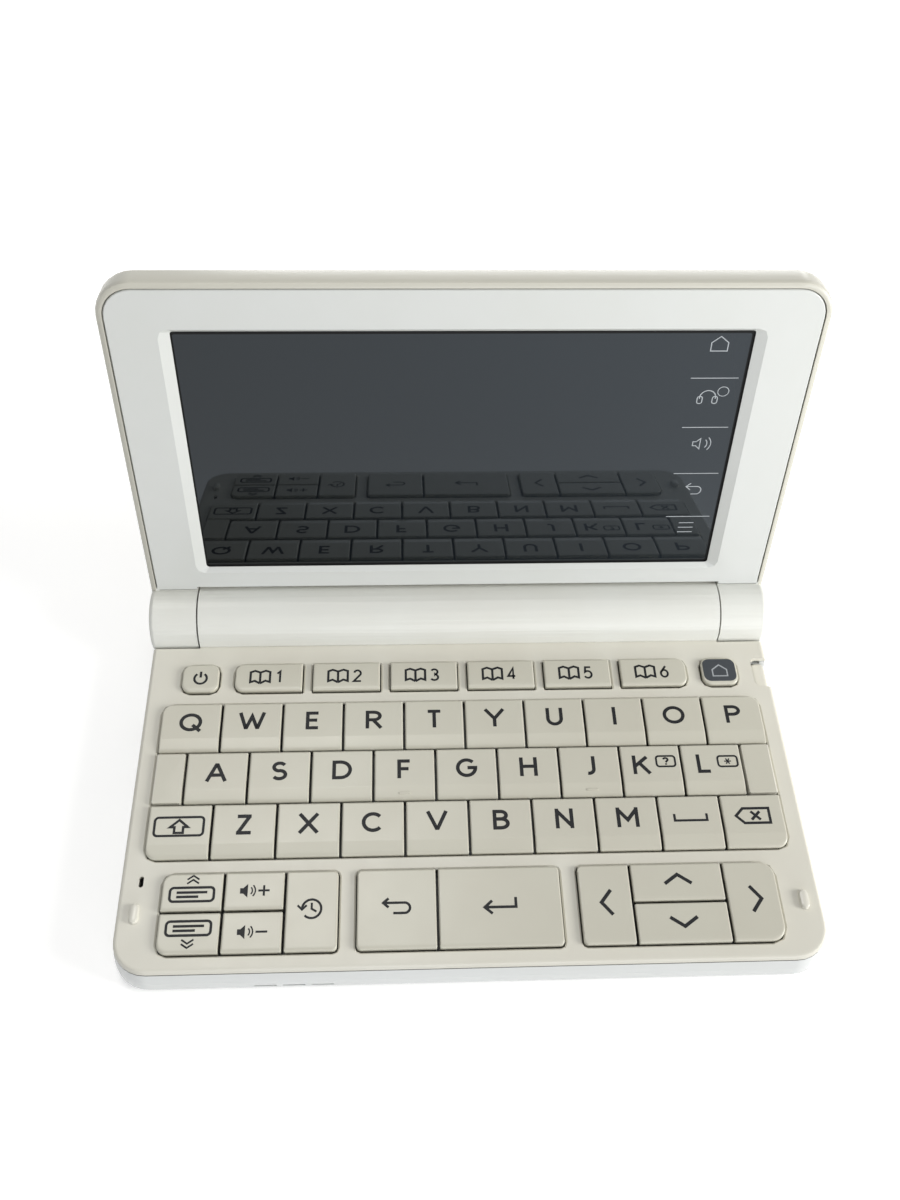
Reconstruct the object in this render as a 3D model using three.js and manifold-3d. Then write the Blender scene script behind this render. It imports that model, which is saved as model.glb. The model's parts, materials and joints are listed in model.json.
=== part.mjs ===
// A pocket electronic dictionary: a keyboard base, a battery barrel that is also the hinge,
// and a lid with a wide display. Millimetres, +Z up, +X to the reader's right, the reader at -Y.
// The base is drawn with the hinge axis above y = 0 and the desk at z = 0. The lid is drawn in
// its own frame, with Y running up the lid from the hinge axis and Z out of its face, and its
// group is turned to the opening angle. The finished group is centred over its footprint.
import * as THREE from "three";
import { mergeVertices } from "three/addons/utils/BufferGeometryUtils.js";
import Module from "manifold-3d";

const wasm = await Module();
wasm.setup();

// Overall sizes
const overallWidth = 149.8;
const hingeToFront = 88.3; // hinge axis to the front edge, alike on base and lid
const baseHeight = 7.9; // underside to deck
const footHeight = 0.6;
const lidThickness = 6.9;
const openAngle = 102.7; // degrees between deck and lid face
const cornerRadius = 7.8; // the four free corners in plan
const rearCornerRadius = 1;
const edgeGap = 0.3; // between pieces that are screwed or clipped together
const overrun = 1; // how far a cutting solid passes the face it cuts

// Hinge and battery barrel
const barrelRadius = 8.4;
const barrelWall = 0.75;
const barrelEndWall = 2;
const axisRise = 0.2; // hinge axis above the deck
const knuckleLength = 11.4;
const knuckleGap = 0.4; // between a knuckle and the base around it
const knuckleRim = 1.2; // rounding of a knuckle's outer end
const shaftRadius = 2;
const shaftCollarRadius = 3.3;
const shaftCollarLength = 2.4;
const shaftGap = 0.3;
const shaftReach = 8; // how far shaft and boss go into their knuckles
const bossRadius = 2.8;
const shellBelowAxis = 9.5; // degrees that the upper case wraps below the axis, in front

// Batteries and their cover
const cellGap = 0.4; // cell to barrel
const wiringRoom = 6.4; // between each end wall of the bay and the hinge
const cellNubRadius = 2.75;
const cellNubLength = 1.3;
const coverOverlap = 1; // how far the cover reaches past the end walls of the bay
const coverTopAngle = 56; // degrees round the axis, from the rear
const coverLowAngle = -96;
const bayWall = 1.2; // end walls of the battery bay
const bridgeFromAngle = 200; // where the end walls are fused to the lower half of the barrel
const bridgeToAngle = 340;
const bayBridgeToAngle = 255;
const gripGrooves = 5;
const gripGrooveWidth = 0.7;
const gripGroovePitch = 1.8;
const gripGrooveDepth = 0.3;
const gripGrooveAngle = -40;
const gripGrooveSpan = 24;

// Case walls. The lower case flares: it is widest low down and drawn in towards the seam.
const deckThickness = 1;
const deckEdgeRadius = 1;
const openingChamfer = 0.35; // round every opening for keys
const upperSkirt = 1.25; // deck to the seam between the cases
const sideFlare = 0.45;
const frontFlare = 1.1;
const flareHeight = 2.2; // underside to where the walls begin to draw in
const sideWall = 1.3;
const floorThickness = 1.2;
const floorEdgeRadius = 0.9;
const compartmentWall = 1.3;

// Key field, front to back
const functionRowMargin = 5.35; // barrel line to the function keys
const functionKeyDepth = 7.9;
const functionToLetters = 2.95;
const lettersToClusters = 3;
const clusterDepth = 17.7;
const frontMargin = 4.4;
const letterRows = 3;
const lettersPerRow = 10;

// Key field, side to side
const letterMargin = 4.7;
const functionSideMargin = 8.3;
const roundKeyWidth = 9.1; // the power and home keys
const roundToContent = 2.3;
const contentKeyCount = 6;
const contentGap = 2;
const clusterSideMargin = 9.4;
const clusterGap = 3.45;
const clusterWidthShares = [0.302, 0.351, 0.347];
const headingShares = [0.352, 0.344, 0.304];
const enterShares = [0.394, 0.606];
const arrowShares = [0.267, 0.466, 0.267];
const clusterSplitShare = 0.49; // of the cluster's depth, from its rear edge to the middle line

// Keys
const keyProud = 0.9; // key top above the deck
const keyGap = 0.55; // between neighbouring keys
const keySkirt = 1.6; // deck down to the underside of a key
const keyTravel = 0.6;
const keyEdge = 0.3; // rounding of a key's top edge
const plungerRadius = 1.5;
const plungerHeight = 0.4;
const frontSlopeShare = 0.26; // of a letter key's depth
const frontSlopeDrop = 0.3;
const sharpCorner = 0.3;
const blockCorner = 2.6;
const roundKeyCorner = 2.2;
const clusterOuterCorner = 2.4;
const clusterInnerCorner = 1.1;
const arrowCorner = 3.2;
const touchBarWidth = 2.4;
const touchBarDepth = 0.45;
const touchBarHeight = 0.22;
const touchBarInset = 1.7;
const padLedge = 0.5; // ledge that carries a blank pad, below the key skirts

// Small features of the deck
const stopHeight = 1;
const stopWidth = 2.1;
const stopLength = 4.4;
const stopInset = 4.3;
const stopFromFront = 13.5;
const microphoneWidth = 1;
const microphoneLength = 2.5;
const microphoneInset = 4.9;
const microphoneFromFront = 20.6;

// Stylus in its groove on the right
const stylusWidth = 4;
const stylusHeight = 3.8;
const stylusLength = 64;
const stylusEdge = 0.8;
const grooveWall = 1;
const grooveFloor = 0.2; // above the floor of the case
const padRise = 0.7; // thumb pad above the stylus body
const notchDepth = 4.6;
const notchLength = 8;
const notchFromBarrel = 5.3;
const notchCorner = 1.4;

// Electronics
const sheetThickness = 0.4;
const sheetInset = 6.3; // side edge of the case to the rubber sheet
const domeRadius = 2.4;
const domeTopRadius = 1.8;
const domeHeight = 0.3;
const domeSides = 6;
const domeGap = 0.7; // plunger to dome, so that the key's travel is free
const boardThickness = 1;
const boardFrontInset = 2.9;
const boardRearInset = 4.6; // barrel line to the board
const postRadius = 1.8;
const postSideInset = 17; // from the edges of the board
const postFrontInset = 13.5;
const postRearInset = 9;
const screwWellRadius = 1.3; // wells in the underside for the case screws
const screwWellDepth = 1;
const portLength = 8;
const portHeight = 2.8;
const portFromBarrel = 19.8;
const portBodyLength = 6;
const jackRadius = 1.75;
const jackFromBarrel = 31;
const jackBodyWidth = 6;
const jackBodyLength = 3.2;
const jackTop = 2.5; // below the deck
const speakerWidth = 19;
const speakerDepth = 10;
const speakerCorner = 2;
const speakerFromCentre = 37.3;
const slotLength = 4.6;
const slotHeight = 0.6;
const slotPitch = 5.9;
const slotCount = 3;
const slotBelowDeck = 6;

// Feet
const footRadius = 3.4;
const footSideInset = 14.9;
const footFrontInset = 10.3;
const footRearInset = 12; // behind the barrel line, towards the front

// Lid
const faceSet = 1.06; // lid face behind the hinge axis
const lidClearOfBarrel = 0.67;
const lidBackRadius = 2;
const lidFaceRadius = 1.1;
const lidWall = 1.1;
const lidRim = 1.4; // rim of the rear cover that frames the bezel
const bezelGap = 0.25;
const bezelThickness = 0.9;
const bezelLand = 0.15;
const bezelEdge = 0.2;
const bezelDrop = 0.55; // how much lower the bezel reaches over the knuckles
const bezelFrameInset = 2.2;
const bezelFrameWall = 0.9;
const bezelFrameDepth = 2.2;
const windowSide = 14.6; // lid side edge to the glass
const windowShift = 0.4; // glass to the left of the lid's middle
const windowTop = 11.1;
const windowBottom = 5.86;
const slopeSide = 2.4;
const slopeTop = 0.75;
const slopeBottom = 1.26;
const slopeCorner = 2;
const windowCorner = 0.6;
const glassLap = 1.7; // glass hidden behind the bezel, on each side
const glassThickness = 1.2;
const modulThickness = 1.6;
const modulInset = 2.4;
const ribWidth = 1.2;
const ribCount = 3;

// Places worked out from the sizes
const halfWidth = overallWidth / 2;
const undersideZ = footHeight;
const deckZ = undersideZ + baseHeight;
const seamZ = deckZ - upperSkirt;
const axisZ = deckZ + axisRise;
const floorZ = undersideZ + floorThickness;
const barrelInner = barrelRadius - barrelWall;
const barrelEnd = halfWidth - knuckleLength - knuckleGap;
const knuckleStart = halfWidth - knuckleLength;
const collarEnd = barrelEnd - barrelEndWall - shaftGap;
const cellRadius = barrelInner - cellGap;
const cellLength = collarEnd - shaftCollarLength - bayWall - edgeGap - wiringRoom;
const coverHalfLength = cellLength + edgeGap + bayWall + coverOverlap;
const knuckleRadius = barrelRadius - edgeGap / 2;
const cutRadius = barrelRadius + knuckleGap;
const frontY = -hingeToFront;
const barrelY = -barrelRadius; // the line where deck and barrel meet
const functionRearY = barrelY - functionRowMargin;
const functionFrontY = functionRearY - functionKeyDepth;
const lettersRearY = functionFrontY - functionToLetters;
const clusterFrontY = frontY + frontMargin;
const clusterRearY = clusterFrontY + clusterDepth;
const lettersFrontY = clusterRearY + lettersToClusters;
const rowPitch = (lettersRearY - lettersFrontY) / letterRows;
const keyPitch = (overallWidth - 2 * letterMargin) / lettersPerRow;
const lettersX = -halfWidth + letterMargin;
const keyTopZ = deckZ + keyProud;
const keyUnderZ = deckZ - keySkirt;
const plungerZ = keyUnderZ - plungerHeight;
const domeZ = plungerZ - domeGap;
const sheetTopZ = domeZ - domeHeight;
const sheetZ = sheetTopZ - sheetThickness;
const boardTopZ = sheetZ - edgeGap;
const boardZ = boardTopZ - boardThickness;

// Steps of the curves
const cornerSteps = 7;
const smallSteps = 2;
const flareSteps = 2;
const roundSteps = 36;
const cellSteps = 24;
const shaftSteps = 20;
const postSteps = 10;
const plungerSteps = 8;
const arcStep = 10; // degrees

const degrees = THREE.MathUtils.degToRad;
const P = (x, y) => new THREE.Vector2(x, y);

const gapAngle = THREE.MathUtils.radToDeg(edgeGap / barrelRadius);

// Solids

function solidOf(geometry) {
  const bare = geometry.clone();
  bare.deleteAttribute("normal");
  bare.deleteAttribute("uv");
  const merged = mergeVertices(bare);
  return new wasm.Manifold(
    new wasm.Mesh({
      numProp: 3,
      vertProperties: new Float32Array(merged.attributes.position.array),
      triVerts: new Uint32Array(merged.index.array),
    }),
  );
}

function join(...solids) {
  return solids.reduce((sum, solid) => sum.add(solid));
}

function cut(body, ...tools) {
  return tools.reduce((rest, tool) => rest.subtract(tool), body);
}

// A rectangle with its four corners rounded, counter-clockwise from the front left. The radii
// are for the front left, front right, rear right and rear left corners.
function roundedRectangle(x0, x1, y0, y1, radii, steps = smallSteps) {
  const [frontLeft, frontRight, rearRight, rearLeft] = radii;
  const corners = [
    [x0 + frontLeft, y0 + frontLeft, frontLeft],
    [x1 - frontRight, y0 + frontRight, frontRight],
    [x1 - rearRight, y1 - rearRight, rearRight],
    [x0 + rearLeft, y1 - rearLeft, rearLeft],
  ];
  const points = [];
  corners.forEach(([x, y, radius], quarter) => {
    for (let i = 0; i <= steps; i++) {
      const angle = Math.PI + ((quarter + i / steps) * Math.PI) / 2;
      points.push(P(x + radius * Math.cos(angle), y + radius * Math.sin(angle)));
    }
  });
  return points;
}

// An upright prism on an outline in plan.
function prism(outline, low, high) {
  const geometry = new THREE.ExtrudeGeometry(new THREE.Shape(outline), {
    depth: high - low,
    bevelEnabled: false,
  });
  return solidOf(geometry.translate(0, 0, low));
}

function block(x0, x1, y0, y1, low, high) {
  return prism([P(x0, y0), P(x1, y0), P(x1, y1), P(x0, y1)], low, high);
}

// A prism that runs along X on a profile of (y, z) points.
function prismAlongX(profile, x0, x1) {
  const geometry = new THREE.ExtrudeGeometry(new THREE.Shape(profile), {
    depth: x1 - x0,
    bevelEnabled: false,
  });
  const turn = new THREE.Matrix4().makeBasis(
    new THREE.Vector3(0, 1, 0),
    new THREE.Vector3(0, 0, 1),
    new THREE.Vector3(1, 0, 0),
  );
  return solidOf(geometry.applyMatrix4(turn).translate(x0, 0, 0));
}

// A solid through a stack of outlines that all have the same number of points.
function loft(rings) {
  const count = rings[0].outline.length;
  const positions = [];
  for (const { outline, z } of rings) {
    for (const point of outline) {
      positions.push(point.x, point.y, z);
    }
  }
  const faces = [];
  for (let ring = 0; ring + 1 < rings.length; ring++) {
    for (let i = 0; i < count; i++) {
      const a = ring * count + i;
      const b = ring * count + ((i + 1) % count);
      faces.push(a, b, b + count, a, b + count, a + count);
    }
  }
  const top = (rings.length - 1) * count;
  for (const [a, b, c] of THREE.ShapeUtils.triangulateShape(rings[0].outline, [])) {
    faces.push(a, c, b);
  }
  for (const [a, b, c] of THREE.ShapeUtils.triangulateShape(rings.at(-1).outline, [])) {
    faces.push(top + a, top + b, top + c);
  }
  const geometry = new THREE.BufferGeometry();
  geometry.setAttribute("position", new THREE.Float32BufferAttribute(positions, 3));
  geometry.setIndex(faces);
  return solidOf(geometry);
}

// A solid turned about the X axis from (x, radius) points, which start and end on the axis.
function turned(profile, y = 0, z = 0, steps = roundSteps) {
  const points = profile.map(([x, radius]) => P(radius, x));
  const geometry = new THREE.LatheGeometry(points, steps);
  const turn = new THREE.Matrix4().makeBasis(
    new THREE.Vector3(0, 1, 0),
    new THREE.Vector3(1, 0, 0),
    new THREE.Vector3(0, 0, -1),
  );
  return solidOf(geometry.applyMatrix4(turn).translate(0, y, z));
}

function rod(radius, x0, x1, y = 0, z = 0, steps = roundSteps) {
  return turned([[x0, 0], [x0, radius], [x1, radius], [x1, 0]], y, z, steps);
}

function post(radius, x, y, low, high, steps = shaftSteps) {
  const outline = [];
  for (let i = 0; i < steps; i++) {
    const angle = (2 * Math.PI * i) / steps;
    outline.push(P(x + radius * Math.cos(angle), y + radius * Math.sin(angle)));
  }
  return prism(outline, low, high);
}

// A length of pipe wall about the hinge axis of the base, between two angles from the rear.
function pipeWall(inner, outer, fromAngle, toAngle, x0, x1) {
  const steps = Math.ceil(Math.abs(toAngle - fromAngle) / arcStep);
  const outside = [];
  const inside = [];
  for (let i = 0; i <= steps; i++) {
    const angle = degrees(fromAngle + ((toAngle - fromAngle) * i) / steps);
    outside.push(P(outer * Math.cos(angle), axisZ + outer * Math.sin(angle)));
    inside.unshift(P(inner * Math.cos(angle), axisZ + inner * Math.sin(angle)));
  }
  return prismAlongX([...outside, ...inside], x0, x1);
}

// The opening in the barrel that the battery cover closes.
function coverOpening() {
  return pipeWall(
    barrelInner - overrun,
    barrelRadius + overrun,
    coverLowAngle - gapAngle,
    coverTopAngle + gapAngle,
    -coverHalfLength - edgeGap,
    coverHalfLength + edgeGap,
  );
}

// Quarter-round steps from (inset 0, depth radius) to (inset radius, depth 0).
function roundOver(radius, steps = 3) {
  return Array.from({ length: steps + 1 }, (_, i) => {
    const angle = ((i / steps) * Math.PI) / 2;
    return { inset: radius * (1 - Math.cos(angle)), depth: radius * (1 - Math.sin(angle)) };
  });
}

// Base

// The outline of the base in plan, drawn in by an inset and by a share of the flare. It runs on
// under the barrel.
function baseOutline(inset, rearY, flareShare = 0) {
  const side = inset + sideFlare * flareShare;
  const front = inset + frontFlare * flareShare;
  const corner = cornerRadius - side;
  return roundedRectangle(
    -halfWidth + side,
    halfWidth - side,
    frontY + front,
    rearY,
    [corner, corner, rearCornerRadius, rearCornerRadius],
    cornerSteps,
  );
}

// Rings of the flared wall, from the foot of the flare up to the seam.
function flareRings(inset, rearY, foot, top) {
  return Array.from({ length: flareSteps + 1 }, (_, i) => {
    const share = i / flareSteps;
    const drawnIn = 1 - Math.cos((share * Math.PI) / 2);
    return { outline: baseOutline(inset, rearY, drawnIn), z: foot + (top - foot) * share };
  });
}

const baseRearY = -barrelRadius / 5;
const cavityRearY = -cutRadius - compartmentWall;

// Room for the lid's two knuckles.
function knuckleRoom() {
  const reach = halfWidth + overrun;
  const inner = barrelEnd;
  const left = rod(cutRadius, -reach, -inner, 0, axisZ);
  const right = rod(cutRadius, inner, reach, 0, axisZ);
  const behind = baseRearY + overrun;
  const low = -overrun;
  const high = axisZ + barrelRadius;
  const leftRear = block(-reach, -inner, -barrelRadius / 2, behind, low, high);
  const rightRear = block(inner, reach, -barrelRadius / 2, behind, low, high);
  return join(left, right, leftRear, rightRear);
}

// Cells of the key field: where each key goes and how its corners are rounded.
function evenCells(count, x0, pitch) {
  return Array.from({ length: count }, (_, i) => [x0 + i * pitch, x0 + (i + 1) * pitch]);
}

function sharedCells(x0, width, shares) {
  let x = x0;
  return shares.map((share) => {
    const cell = [x, x + width * share];
    x = cell[1];
    return cell;
  });
}

const s = sharpCorner;
const keys = [];

function addKey(name, [x0, x1], y0, y1, radii, extras = {}) {
  keys.push({ name, x0, x1, y0, y1, radii, ...extras });
}

// Function row: a round key at each end and the content keys between them.
const roundKeyX = halfWidth - functionSideMargin;
const contentEdge = roundKeyX - roundKeyWidth - roundToContent;
const contentPitch = (2 * contentEdge) / contentKeyCount;
const roundRadii = Array(4).fill(roundKeyCorner);
const leftRound = [roundKeyCorner, s, s, roundKeyCorner];
const rightRound = [s, roundKeyCorner, roundKeyCorner, s];

addKey("key_power", [-roundKeyX, -roundKeyX + roundKeyWidth], functionFrontY, functionRearY, roundRadii);
evenCells(contentKeyCount, -contentEdge, contentPitch).forEach(([x0, x1], i) => {
  const outer = i === 0 ? leftRound : i === contentKeyCount - 1 ? rightRound : [s, s, s, s];
  const cell = [x0 + contentGap / 2, x1 - contentGap / 2];
  addKey(`key_content_${i + 1}`, cell, functionFrontY, functionRearY, outer);
});
addKey("key_home", [roundKeyX - roundKeyWidth, roundKeyX], functionFrontY, functionRearY, roundRadii);

// Letter block: three rows, the middle one moved by half a key between two fixed pads.
function addLetterRow(row, names, x0) {
  const rear = lettersRearY - row * rowPitch;
  evenCells(names.length, x0, keyPitch).forEach((cell, i) => {
    const first = i === 0;
    const last = i === names.length - 1;
    const radii = [
      first && row === 2 ? blockCorner : s,
      last && row === 2 ? blockCorner : s,
      last && row === 0 ? blockCorner : s,
      first && row === 0 ? blockCorner : s,
    ];
    const touchBar = ["key_f", "key_j"].includes(names[i]);
    addKey(names[i], cell, rear - rowPitch, rear, radii, { sloped: true, touchBar });
  });
}

const named = (letters) => [...letters].map((letter) => `key_${letter}`);
addLetterRow(0, named("qwertyuiop"), lettersX);
addLetterRow(1, named("asdfghjkl"), lettersX + keyPitch / 2);
addLetterRow(2, ["key_shift", ...named("zxcvbnm"), "key_space", "key_delete"], lettersX);

// Clusters in front: headings, volume and history; back and enter; the arrows.
const clusterX = -halfWidth + clusterSideMargin;
const clusterSpan = overallWidth - 2 * clusterSideMargin - 2 * clusterGap;
const clusterWidths = clusterWidthShares.map((share) => share * clusterSpan);
const clusterStarts = [
  clusterX,
  clusterX + clusterWidths[0] + clusterGap,
  clusterX + clusterWidths[0] + clusterWidths[1] + 2 * clusterGap,
];
const clusterCorners = [
  [clusterOuterCorner, clusterInnerCorner, clusterInnerCorner, clusterOuterCorner],
  Array(4).fill(clusterInnerCorner),
  [clusterInnerCorner, arrowCorner, arrowCorner, clusterInnerCorner],
];
const splitY = clusterRearY - clusterDepth * clusterSplitShare;

{
  const [frontLeft, frontRight, rearRight, rearLeft] = clusterCorners[0];
  const [heading, volume, history] = sharedCells(clusterStarts[0], clusterWidths[0], headingShares);
  addKey("key_previous_heading", heading, splitY, clusterRearY, [s, s, s, rearLeft]);
  addKey("key_next_heading", heading, clusterFrontY, splitY, [frontLeft, s, s, s]);
  addKey("key_volume_up", volume, splitY, clusterRearY, [s, s, s, s]);
  addKey("key_volume_down", volume, clusterFrontY, splitY, [s, s, s, s]);
  addKey("key_history", history, clusterFrontY, clusterRearY, [s, frontRight, rearRight, s]);
}
{
  const [frontLeft, frontRight, rearRight, rearLeft] = clusterCorners[1];
  const [back, enter] = sharedCells(clusterStarts[1], clusterWidths[1], enterShares);
  addKey("key_back", back, clusterFrontY, clusterRearY, [frontLeft, s, s, rearLeft]);
  addKey("key_enter", enter, clusterFrontY, clusterRearY, [s, frontRight, rearRight, s]);
}
{
  const [frontLeft, frontRight, rearRight, rearLeft] = clusterCorners[2];
  const [left, middle, right] = sharedCells(clusterStarts[2], clusterWidths[2], arrowShares);
  addKey("key_left", left, clusterFrontY, clusterRearY, [frontLeft, s, s, rearLeft]);
  addKey("key_up", middle, splitY, clusterRearY, [s, s, s, s]);
  addKey("key_down", middle, clusterFrontY, splitY, [s, s, s, s]);
  addKey("key_right", right, clusterFrontY, clusterRearY, [s, frontRight, rearRight, s]);
}

// Openings in the deck: one for each function key, one for the letters, one for each cluster.
// Each is chamfered round its upper edge.
function deckOpening(x0, x1, y0, y1, radii) {
  const ring = (more, z) => ({
    outline: roundedRectangle(
      x0 - more,
      x1 + more,
      y0 - more,
      y1 + more,
      radii.map((radius) => radius + more),
    ),
    z,
  });
  return loft([
    ring(0, seamZ - overrun),
    ring(0, deckZ - openingChamfer),
    ring(openingChamfer, deckZ),
    ring(openingChamfer, deckZ + overrun),
  ]);
}

function deckOpenings() {
  const functionKeys = keys.filter((key) => key.y1 === functionRearY);
  const single = functionKeys.map((key) =>
    deckOpening(key.x0, key.x1, key.y0, key.y1, key.radii),
  );
  const letterRadii = Array(4).fill(blockCorner);
  const letters = deckOpening(lettersX, -lettersX, lettersFrontY, lettersRearY, letterRadii);
  const clusters = clusterStarts.map((x0, i) =>
    deckOpening(x0, x0 + clusterWidths[i], clusterFrontY, clusterRearY, clusterCorners[i]),
  );
  return [...single, letters, ...clusters];
}

// A cap's outline rings: a straight skirt and a rounded top edge.
function capRings(key, under, top) {
  const inset = keyGap / 2;
  const ring = (more, z) => ({
    outline: roundedRectangle(
      key.x0 + inset + more,
      key.x1 - inset - more,
      key.y0 + inset + more,
      key.y1 - inset - more,
      key.radii.map((radius) => Math.max(radius - more, sharpCorner / 4)),
      Math.max(...key.radii) > sharpCorner ? smallSteps : 1,
    ),
    z,
  });
  const rounded = roundOver(keyEdge, smallSteps).map(({ inset: more, depth }) =>
    ring(more, top - depth),
  );
  return [ring(0, under), ...rounded];
}

// The front quarter of a letter key falls away towards the reader.
function frontSlope(key) {
  const depth = (key.y1 - key.y0) * frontSlopeShare;
  const front = key.y0 + keyGap / 2;
  const profile = [
    P(front - overrun, keyTopZ - frontSlopeDrop * (1 + overrun / depth)),
    P(front + depth, keyTopZ),
    P(front + depth, keyTopZ + overrun),
    P(front - overrun, keyTopZ + overrun),
  ];
  return prismAlongX(profile, key.x0 - overrun, key.x1 + overrun);
}

function keyCap(key) {
  const x = (key.x0 + key.x1) / 2;
  const y = (key.y0 + key.y1) / 2;
  let cap = loft(capRings(key, keyUnderZ, keyTopZ));
  if (key.sloped) {
    cap = cut(cap, frontSlope(key));
  }
  if (key.touchBar) {
    const barY = key.y0 + touchBarInset;
    const low = keyTopZ - frontSlopeDrop;
    cap = join(
      cap,
      block(
        x - touchBarWidth / 2,
        x + touchBarWidth / 2,
        barY,
        barY + touchBarDepth,
        low - overrun,
        low + touchBarHeight,
      ),
    );
  }
  return join(cap, post(plungerRadius, x, y, plungerZ, keyUnderZ + overrun, plungerSteps));
}

// The fixed half-width pads at both ends of the middle letter row. Each stands on a ledge that
// hangs from the deck beside the opening.
function blankPads() {
  const rear = lettersRearY - rowPitch;
  const front = rear - rowPitch;
  const middle = lettersX + keyPitch / 2;
  const ledgeZ = keyUnderZ - padLedge;
  return [-1, 1].map((side) => {
    const [x0, x1] = side < 0 ? [lettersX, middle] : [-middle, -lettersX];
    const pad = loft(capRings({ x0, x1, y0: front, y1: rear, radii: [s, s, s, s] }, keyUnderZ, keyTopZ));
    const edge = side * -lettersX;
    const outer = edge + side * (letterMargin / 2);
    const inner = side * middle * -1 + side * keyGap;
    const beside = edge + side * keyGap;
    const strip = (from, to, high) =>
      block(
        Math.min(from, to),
        Math.max(from, to),
        front + keyGap / 2,
        rear - keyGap / 2,
        ledgeZ,
        high,
      );
    const ledge = strip(outer, inner, deckZ - deckThickness - edgeGap);
    const hanger = strip(outer, beside, deckZ - deckThickness / 2);
    return join(pad, ledge, hanger);
  });
}

// Oval stops that hold the closed lid off the keys.
function lidStops() {
  return [-1, 1].map((side) => {
    const x = side * (halfWidth - stopInset);
    const y = frontY + stopFromFront;
    const ring = (inset, z) => ({
      outline: roundedRectangle(
        x - stopWidth / 2 + inset,
        x + stopWidth / 2 - inset,
        y - stopLength / 2 + inset,
        y + stopLength / 2 - inset,
        Array(4).fill((stopWidth / 2 - inset) * 0.98),
      ),
      z,
    });
    const rounded = roundOver(stopWidth / 3, smallSteps).map(({ inset, depth }) =>
      ring(inset, deckZ + stopHeight - depth),
    );
    return loft([ring(0, deckZ - deckThickness / 2), ...rounded]);
  });
}

const notchRearY = barrelY - notchFromBarrel;
const notchFrontY = notchRearY - notchLength;
const notchX = halfWidth - notchDepth;

function upperCase() {
  const rise = roundOver(deckEdgeRadius).map(({ inset, depth }) => ({
    outline: baseOutline(inset, baseRearY, 1),
    z: deckZ - depth,
  }));
  const outer = loft([{ outline: baseOutline(0, baseRearY, 1), z: seamZ }, ...rise]);
  const roomOutline = baseOutline(sideWall, cavityRearY, 1);
  const room = prism(roomOutline, seamZ - overrun, deckZ - deckThickness);
  const notchWall = block(
    notchX - grooveWall,
    halfWidth - sideFlare - deckEdgeRadius,
    notchFrontY - grooveWall,
    notchRearY + grooveWall,
    seamZ,
    deckZ - deckThickness / 2,
  );
  const notch = prism(
    roundedRectangle(
      notchX,
      halfWidth + notchCorner + overrun,
      notchFrontY,
      notchRearY,
      Array(4).fill(notchCorner),
    ),
    seamZ - overrun,
    deckZ + overrun,
  );
  const microphoneX = -halfWidth + microphoneInset;
  const microphoneY = frontY + microphoneFromFront;
  const microphone = prism(
    roundedRectangle(
      microphoneX - microphoneWidth / 2,
      microphoneX + microphoneWidth / 2,
      microphoneY - microphoneLength / 2,
      microphoneY + microphoneLength / 2,
      Array(4).fill(microphoneWidth * 0.45),
    ),
    seamZ - overrun,
    deckZ + overrun,
  );
  const shell = pipeWall(barrelInner, barrelRadius, 0, 180 + shellBelowAxis, -barrelEnd, barrelEnd);
  const body = join(cut(outer, room), notchWall, shell);
  const bay = rod(barrelInner, -barrelEnd - overrun, barrelEnd + overrun, 0, axisZ);
  const below = block(
    -halfWidth,
    halfWidth,
    cavityRearY + compartmentWall / 2,
    barrelRadius + overrun,
    -overrun,
    deckZ - deckThickness,
  );
  const openings = [coverOpening(), notch, microphone, ...deckOpenings()];
  const hollowed = cut(body, bay, below, knuckleRoom(), ...openings);
  return join(hollowed, ...blankPads(), ...lidStops());
}

// Ends of the barrel, with the shaft's bore on the right and the moulded boss on the left.
function barrelEnds() {
  const discRadius = barrelInner - edgeGap;
  const inner = barrelEnd - barrelEndWall;
  const bridgeIn = discRadius - barrelWall;
  const bridgeOut = barrelInner + barrelWall / 2;
  const rightDisc = cut(
    rod(discRadius, inner, barrelEnd, 0, axisZ),
    rod(shaftRadius + shaftGap, inner - overrun, barrelEnd + overrun, 0, axisZ, shaftSteps),
  );
  const leftDisc = rod(discRadius, -barrelEnd, -inner, 0, axisZ);
  const boss = rod(bossRadius, -knuckleStart - shaftReach, -inner, 0, axisZ, shaftSteps);
  const bridge = (x0, x1, toAngle) =>
    pipeWall(bridgeIn, bridgeOut, bridgeFromAngle, toAngle, x0, x1);
  const rightBridge = bridge(inner, barrelEnd, bridgeToAngle);
  const leftBridge = bridge(-barrelEnd, -inner, bridgeToAngle);
  const bay = cellLength + edgeGap;
  const bayEnds = [-1, 1].flatMap((side) => {
    const [x0, x1] = side < 0 ? [-bay - bayWall, -bay] : [bay, bay + bayWall];
    const disc = rod(discRadius, x0, x1, 0, axisZ, cellSteps);
    return [disc, bridge(x0, x1, bayBridgeToAngle)];
  });
  return [rightDisc, leftDisc, boss, rightBridge, leftBridge, ...bayEnds];
}

const stylusOuterX = halfWidth - sideFlare;
const grooveX = stylusOuterX - stylusWidth - edgeGap;
const grooveZ = floorZ + grooveFloor;
const stylusRearY = notchRearY - edgeGap;
const stylusFrontY = stylusRearY - stylusLength;
const stylusZ = grooveZ + edgeGap;
const keyClearZ = keyUnderZ - keyTravel - edgeGap;

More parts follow.
